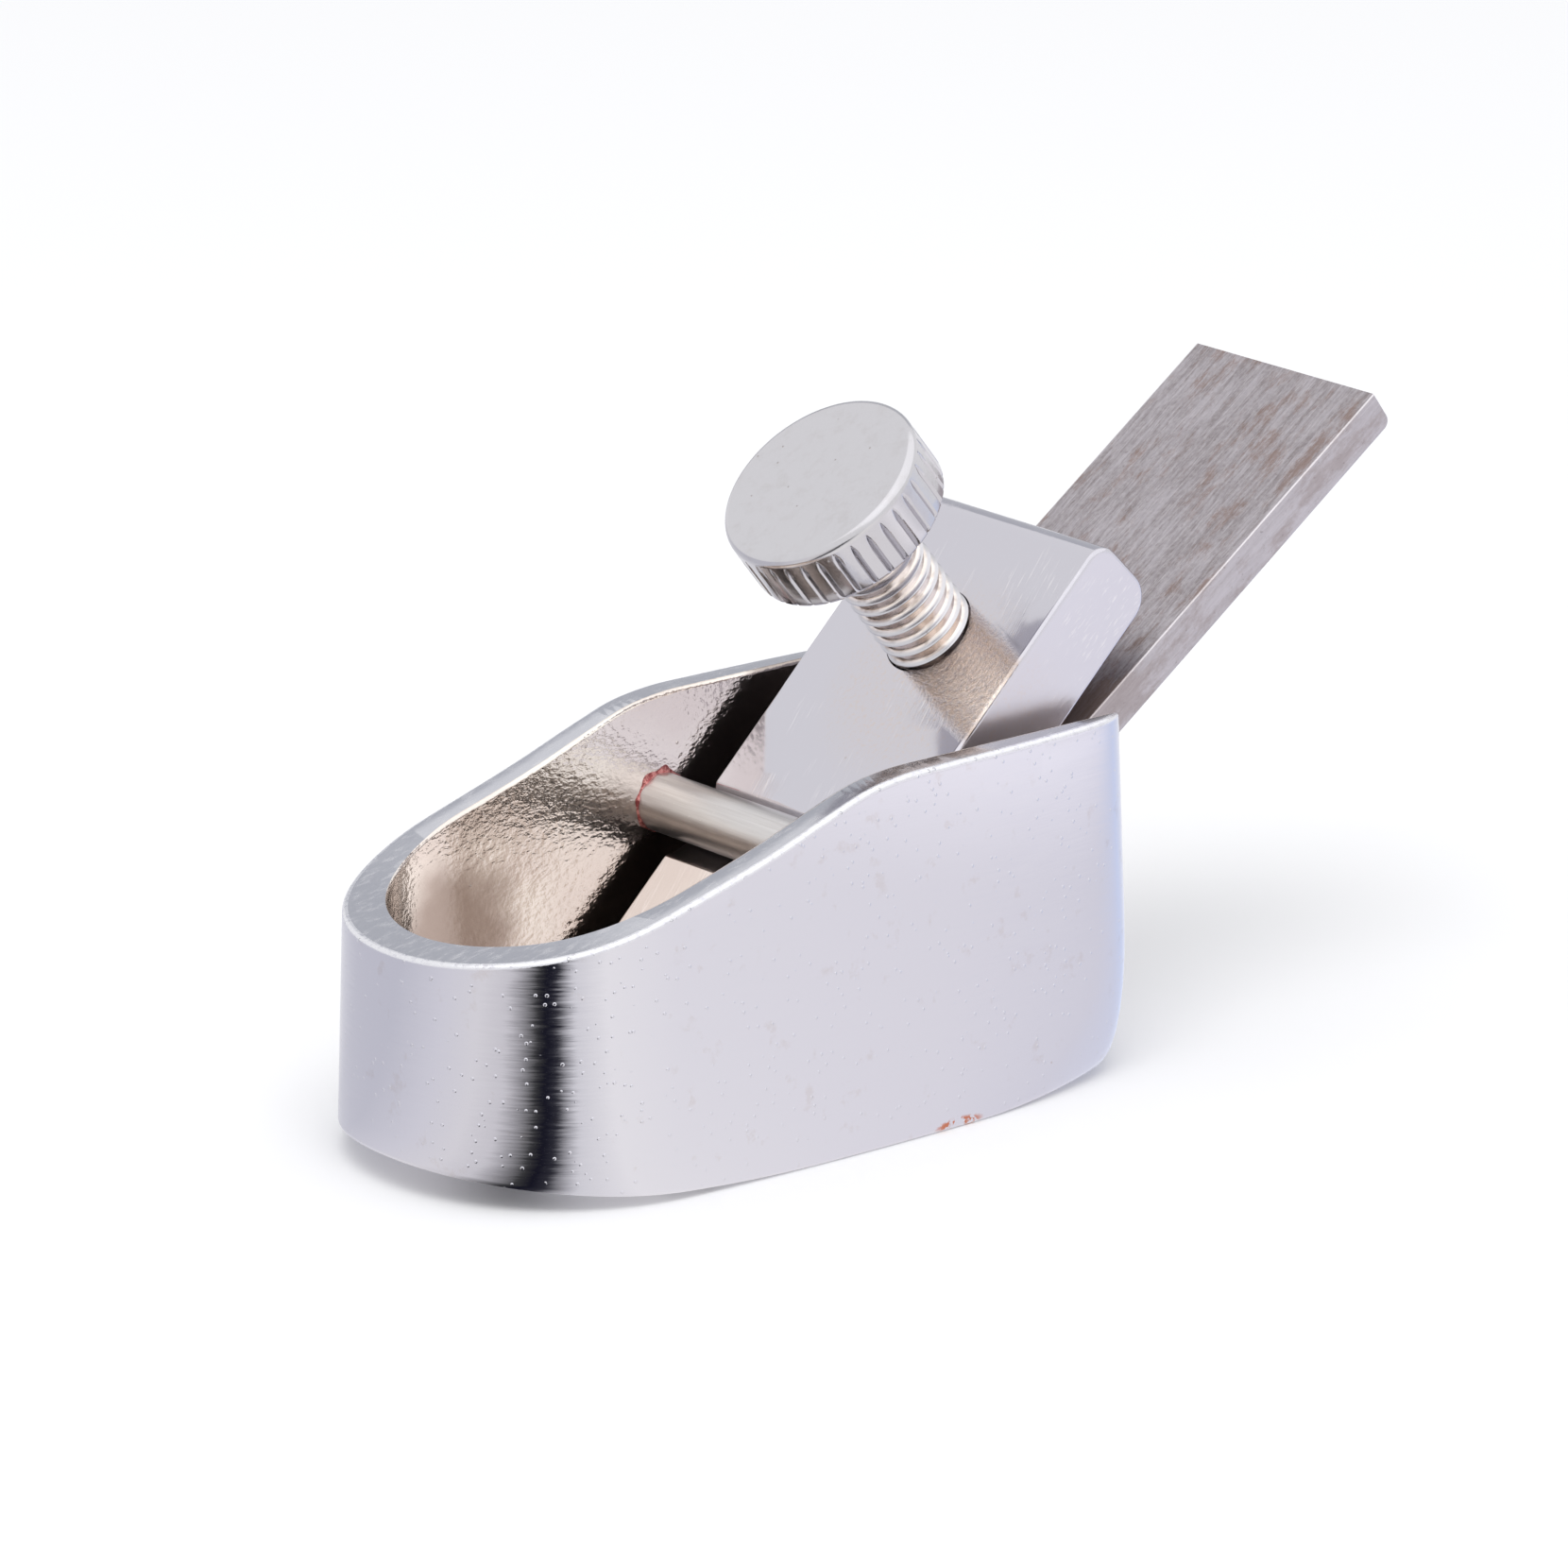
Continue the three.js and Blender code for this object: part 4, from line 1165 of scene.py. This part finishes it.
def plated_cap():
    """Plating over hand-ground lines, scuffed on the nose, with a painted reflection of the screw beside
    it: a brown strip and brown grain.
    """
    material, tree, shader = metal("plated_cap", CAP_TONE, CAP_ROUGHNESS)
    place = place_mm(tree)
    axes = axes_of(tree, place)
    on_side = facing_side(tree)
    ground_place = place_mm(tree, (0.3, 5, 5), (0.25, CAP_PITCH, 0))
    ground_lines = noise_at(tree, ground_place, scale=1.7, detail=4, roughness=0.6)
    waves = noise_at(tree, place, scale=0.35, detail=2)
    nicks = specks(tree, place, scale=0.7, size=0.08, share=0.25)
    grit = noise_at(tree, place, scale=4.6, detail=4, roughness=0.68)
    below_pin = between(tree, axes["Z"], *BELOW_PIN_Z)
    scuffed = between(tree, noise_at(tree, place, scale=0.25), 0.48, 0.62)
    scuffed = math_of(tree, "MAXIMUM", scuffed, below_pin)
    scratched = times(tree, between(tree, ground_lines, 0.54, 0.68), scuffed)
    # Painted reflection of the screw: brown grain round its foot.
    by_screw = between(tree, distance_from(tree, place, SCREW_REFLECTION_PLACE), *SCREW_REFLECTION_EDGE)
    painted_screw_reflection = times(tree, by_screw, between(tree, grit, 0.50, 0.66, 0.1, 0.4))

    # Painted reflection of the screw: a strip across the face beside it. The strip is also grittier and
    # more matt.
    slope_way = (math.cos(CAP_PITCH), STRIP_LEAN, math.sin(CAP_PITCH))
    screw_up_slope = SCREW_PLACE - CAP_PLANE_AHEAD * math.cos(CAP_PITCH)
    up_slope = vector_of(tree, "DOT_PRODUCT", place, slope_way, "Value")
    from_strip = math_of(tree, "ABSOLUTE", math_of(tree, "SUBTRACT", up_slope, screw_up_slope))
    strip = times(tree, between(tree, from_strip, *STRIP_EDGE), between(tree, axes["Y"], *STRIP_END_Y))
    strip = times(tree, strip, math_of(tree, "SUBTRACT", 1, on_side))
    painted_reflection_strip = times(tree, strip, between(tree, grit, 0.35, 0.6, 0.55, 0.95))
    reflection_strip_tone = laid_over(
        tree, REFLECTION_STRIP_TONE, between(tree, from_strip, *STRIP_TONE_CHANGE), REFLECTION_STRIP_EDGE_TONE
    )

    tone = laid_over(tree, CAP_TONE, on_side, CAP_SIDE_TONE)
    tone = laid_over(tree, tone, below_pin, CAP_NOSE_TONE, strength=0.6)
    tone = laid_over(tree, tone, nicks, CAP_NICK_TONE, strength=0.4)
    tone = laid_over(tree, tone, scratched, CAP_SCRATCH_TONE, strength=0.5)
    tone = laid_over(tree, tone, painted_screw_reflection, SCREW_REFLECTION_TONE)
    tone = laid_over(tree, tone, painted_reflection_strip, reflection_strip_tone)
    matt = math_of(tree, "MAXIMUM", scuffed, times(tree, on_side, SIDE_MATTNESS))
    matt = math_of(tree, "MAXIMUM", matt, times(tree, strip, STRIP_MATTNESS))
    roughness = add_node(
        tree,
        "ShaderNodeMapRange",
        {"Value": matt, "From Max": SIDE_MATTNESS, "To Min": CAP_ROUGHNESS, "To Max": MATT_CAP_ROUGHNESS},
    ).outputs["Result"]
    normal = bumped(tree, times(tree, ground_lines, scuffed), GROUND_LINE_DEPTH)
    normal = bumped(tree, times(tree, grit, strip), GRIT_DEPTH, normal)
    normal = bumped(tree, waves, CAP_WAVE_DEPTH, normal)
    normal = bumped(tree, nicks, NICK_DEPTH, normal)
    wire(tree, shader, tone, normal, roughness)
    return material


pitch_gap = CAP_PITCH - IRON_PITCH
iron_below_cap = (CAP_PLANE_AHEAD - IRON_EDGE_AHEAD) * math.sin(IRON_PITCH)
nose_depth = (iron_below_cap + CAP_NOSE * math.sin(pitch_gap)) / math.cos(pitch_gap) - NOSE_GAP
groove_depth = PIN_DIAMETER / 2 + GROOVE_GAP - PIN_ABOVE_FACE
groove_centre = GROOVE_RADIUS - groove_depth
lip_reach = math.sqrt((GROOVE_RADIUS + GROOVE_LIP) ** 2 - (groove_centre + GROOVE_LIP) ** 2)
lip_angle = math.atan2(groove_centre + GROOVE_LIP, lip_reach)
groove_ends = (math.pi + lip_angle, 2 * math.pi - lip_angle)
groove = arc((PIN_PLACE, groove_centre), GROOVE_RADIUS, *groove_ends, steps=28)
cap_profile = [
    *arc((PIN_PLACE - lip_reach, -GROOVE_LIP), GROOVE_LIP, quarter, lip_angle, steps=5),
    *groove[1:-1],
    *arc((PIN_PLACE + lip_reach, -GROOVE_LIP), GROOVE_LIP, math.pi - lip_angle, quarter, steps=5),
    *arc((CAP_TOP - CAP_FRONT_ROUND, -CAP_FRONT_ROUND), CAP_FRONT_ROUND, quarter, 0, steps=10),
    *arc((CAP_TOP - CAP_BACK_ROUND, CAP_BACK_ROUND - CAP_THICKNESS), CAP_BACK_ROUND, 0, -quarter, steps=12),
    (CAP_TAPER_START, -CAP_THICKNESS),
    (CAP_NOSE, -nose_depth),
    *arc((CAP_NOSE + NOSE_ROUND, -NOSE_ROUND), NOSE_ROUND, math.pi, quarter, steps=6),
]
cap_plating = plated_cap()
cap = prism("lever_cap_bar", [on_cap(*point) for point in cap_profile], cap_half_width, [cap_plating])
break_edges(cap, CAP_EDGE_ROUND, 4, cap_half_width)

screw_angle = CAP_PITCH - SCREW_LEAN
foot_x, foot_z = on_cap(SCREW_PLACE, 0)
screw_place = Matrix.Translation(Vector((foot_x, 0, foot_z)) * MM) @ Matrix.Rotation(-screw_angle, 4, "Y")
hole_radius = SHANK_DIAMETER / 2 + HOLE_GAP
hole_foot = -CAP_THICKNESS - CUT_OVERRUN
hole = turned(
    "hole",
    [(0, hole_foot), (hole_radius, hole_foot), (hole_radius, CUT_OVERRUN), (0, CUT_OVERRUN)],
    HOLE_SIDES,
    screw_place,
    [cap_plating],
)
cut(cap, hole)
finish_piece(cap, "lever_cap", "lever_cap")


# Thumbscrew
# A plated screw with a fine thread and a disc head. Its edge is knurled with straight grooves
# that run out in points below a smooth bright band. It turns as one piece.
THREAD_PITCH = 0.7
THREAD_DEPTH = 0.25
THREAD_CREST_SHARE = 0.08
THREAD_ROOT_SHARE = 0.46
THREAD_TURN_STEPS = 96
THREAD_PITCH_STEPS = 10
SHANK_SHOWING = 7.25
SCREW_TIP_GAP = 0.12
SCREW_TIP_CHAMFER = 0.45
HEAD_DIAMETER = 9.55
HEAD_HEIGHT = 3.1
HEAD_TOP_ROUND = 0.42
HEAD_LOWER_ROUND = 0.25
KNURL_COUNT = 36
KNURL_WIDTH = 0.28
KNURL_DEPTH = 0.22
KNURL_TOP_BAND = 0.45
KNURL_RUN_OUT = 0.55
KNURL_STEPS = 16
KNURL_LEVEL_SHARES = (0.2, 0.4, 0.6, 0.75, 0.85, 0.92, 0.97, 1)
SCREW_TONE = (0.615, 0.605, 0.635)
SCREW_MOTTLE_TONE = (0.51, 0.485, 0.49)
SCREW_PIT_TONE = (0.36, 0.30, 0.27)
# Painted reflection: the hollows of the thread take the cream of the cap's face, with grime caked in
# patches.
RECESS_REFLECTION_TONE = (0.95, 0.86, 0.80)
CAKED_TONE = (0.52, 0.43, 0.38)
SCREW_ROUGHNESS = 0.17
RECESS_ROUGHNESS = 0.22
SCREW_WAVE_DEPTH = 0.010
SCREW_GRAIN_DEPTH = 0.002
SCREW_PIT_DEPTH = 0.010


def plated_screw():
    """Plating with faint mottling and pits, a painted cream reflection of the cap in the thread, and old
    grime caked there in patches.
    """
    material, tree, shader = metal("plated_screw", SCREW_TONE, SCREW_ROUGHNESS)
    place = place_mm(tree)
    in_recess = noted(tree, "in_recess")
    pits = specks(tree, place, scale=1.3, size=0.09, share=0.4)
    mottle = between(tree, noise_at(tree, place, scale=1.1, detail=5, roughness=0.7), 0.48, 0.72)
    caked = between(tree, noise_at(tree, place, scale=0.6, roughness=0.6), 0.47, 0.64)
    # Painted cream reflection in the thread's hollows, with caked grime in patches.
    reflection_and_grime_tone = laid_over(tree, RECESS_REFLECTION_TONE, caked, CAKED_TONE)
    tone = laid_over(tree, SCREW_TONE, mottle, SCREW_MOTTLE_TONE, strength=0.3)
    tone = laid_over(tree, tone, pits, SCREW_PIT_TONE, strength=0.5)
    tone = laid_over(tree, tone, between(tree, in_recess, 0.3, 0.9), reflection_and_grime_tone, strength=0.9)
    normal = bumped(tree, noise_at(tree, place, scale=0.8), SCREW_WAVE_DEPTH)
    normal = bumped(tree, noise_at(tree, place, scale=6), SCREW_GRAIN_DEPTH, normal)
    normal = bumped(tree, pits, SCREW_PIT_DEPTH, normal)
    wire(tree, shader, tone, normal, between(tree, in_recess, 0, 0.6, SCREW_ROUGHNESS, RECESS_ROUGHNESS))
    return material


def screw_tip_height():
    """Height of the screw's tip on its own axis, just clear of the iron."""
    axis_x, axis_z = -math.sin(screw_angle), math.cos(screw_angle)
    out_x, out_z = -math.sin(IRON_PITCH), math.cos(IRON_PITCH)
    height = (foot_x + IRON_EDGE_AHEAD) * out_x + foot_z * out_z - SCREW_TIP_GAP
    cosine = axis_x * out_x + axis_z * out_z
    tip_radius = SHANK_DIAMETER / 2 - SCREW_TIP_CHAMFER
    return -(height - tip_radius * math.sqrt(1 - cosine * cosine)) / cosine


def thread_radius(angle, height, tip):
    """A rounded V thread, right-handed, that fades into a chamfer at the tip."""
    phase = (height / THREAD_PITCH - angle / (2 * math.pi)) % 1
    hollow = smooth_step(abs(2 * phase - 1), THREAD_CREST_SHARE, THREAD_ROOT_SHARE)
    radius = SHANK_DIAMETER / 2 - THREAD_DEPTH * hollow
    return min(radius, SHANK_DIAMETER / 2 - SCREW_TIP_CHAMFER + (height - tip))


def thread_mesh():
    """Rows of points that climb with the thread, cut off square at the tip and under the head."""
    tip = screw_tip_height()
    start = (math.floor(tip / THREAD_PITCH) - 1) * THREAD_PITCH
    turns = math.ceil((SHANK_SHOWING - start) / THREAD_PITCH) + 1
    rows = turns * THREAD_PITCH_STEPS + 1
    shaped = bmesh.new()
    columns = []
    for i in range(THREAD_TURN_STEPS):
        turn = i / THREAD_TURN_STEPS
        angle = 2 * math.pi * turn
        column = []
        for row in range(rows):
            height = start + THREAD_PITCH * (row / THREAD_PITCH_STEPS + turn)
            radius = thread_radius(angle, height, tip)
            point = Vector((radius * math.cos(angle), radius * math.sin(angle), height))
            column.append(shaped.verts.new(point * MM))
        columns.append(column)
    # The last column joins the first one a whole pitch further up.
    columns.append(columns[0][THREAD_PITCH_STEPS:])
    for column, after in zip(columns, columns[1:]):
        for row in range(len(after) - 1):
            shaped.faces.new((column[row], after[row], after[row + 1], column[row + 1]))
    for height, keeps_above in ((tip, True), (SHANK_SHOWING, False)):
        sliced = bmesh.ops.bisect_plane(
            shaped,
            geom=[*shaped.verts, *shaped.edges, *shaped.faces],
            plane_co=(0, 0, height * MM),
            plane_no=(0, 0, 1),
            clear_inner=keeps_above,
            clear_outer=not keeps_above,
        )
        bmesh.ops.contextual_create(
            shaped, geom=[item for item in sliced["geom_cut"] if isinstance(item, bmesh.types.BMEdge)]
        )
    bmesh.ops.recalc_face_normals(shaped, faces=shaped.faces)
    bmesh.ops.transform(shaped, matrix=screw_place, verts=shaped.verts)
    mesh = bpy.data.meshes.new("thumbscrew_thread")
    shaped.to_mesh(mesh)
    shaped.free()
    return mesh


def mark_recesses(mesh, full_radius, depth):
    """Notes at each point how far it lies inside the full radius, as a share of the depth."""
    to_axis = screw_place.inverted()
    shares = mesh.attributes.new("in_recess", "FLOAT", "POINT")
    for vertex, item in zip(mesh.vertices, shares.data):
        local = to_axis @ vertex.co
        item.value = max(0, full_radius - math.hypot(local.x, local.y) / MM) / depth


screw_plating = plated_screw()
shank_mesh = thread_mesh()
shank_mesh.materials.append(screw_plating)
mark_recesses(shank_mesh, SHANK_DIAMETER / 2, THREAD_DEPTH)
shank = bpy.data.objects.new("thumbscrew_thread", shank_mesh)
bpy.context.scene.collection.objects.link(shank)
finish_piece(shank, "thumbscrew_head", "thumbscrew_shank", sharp_deg=72)

head_radius = HEAD_DIAMETER / 2
head_top = SHANK_SHOWING + HEAD_HEIGHT
lower_round_top = SHANK_SHOWING + HEAD_LOWER_ROUND
knurl_top = head_top - KNURL_TOP_BAND
knurl_levels = [lower_round_top + (knurl_top - lower_round_top) * share for share in KNURL_LEVEL_SHARES]


def knurled_reach(radius, turn, height):
    """The head's radius where a V groove may cut it back. The grooves end in points above."""
    from_groove = ((turn * KNURL_COUNT + 0.5) % 1 - 0.5) * 2 * math.pi * head_radius / KNURL_COUNT
    run_out = min(1, max(0, (knurl_top - height) / KNURL_RUN_OUT))
    depth_here = KNURL_DEPTH * run_out - abs(from_groove) * 2 * KNURL_DEPTH / KNURL_WIDTH
    return min(radius, head_radius - max(0, depth_here))


head_profile = [
    (0, SHANK_SHOWING),
    *arc((head_radius - HEAD_LOWER_ROUND, lower_round_top), HEAD_LOWER_ROUND, -quarter, 0, steps=4),
    *[(head_radius, level) for level in knurl_levels],
    *arc((head_radius - HEAD_TOP_ROUND, head_top - HEAD_TOP_ROUND), HEAD_TOP_ROUND, 0, quarter, steps=8),
    (0, head_top),
]
head = turned(
    "thumbscrew_knob",
    head_profile,
    KNURL_COUNT * KNURL_STEPS,
    screw_place,
    [screw_plating],
    reach_at=knurled_reach,
)
finish_piece(head, "thumbscrew_head", "thumbscrew_head", sharp_deg=40)
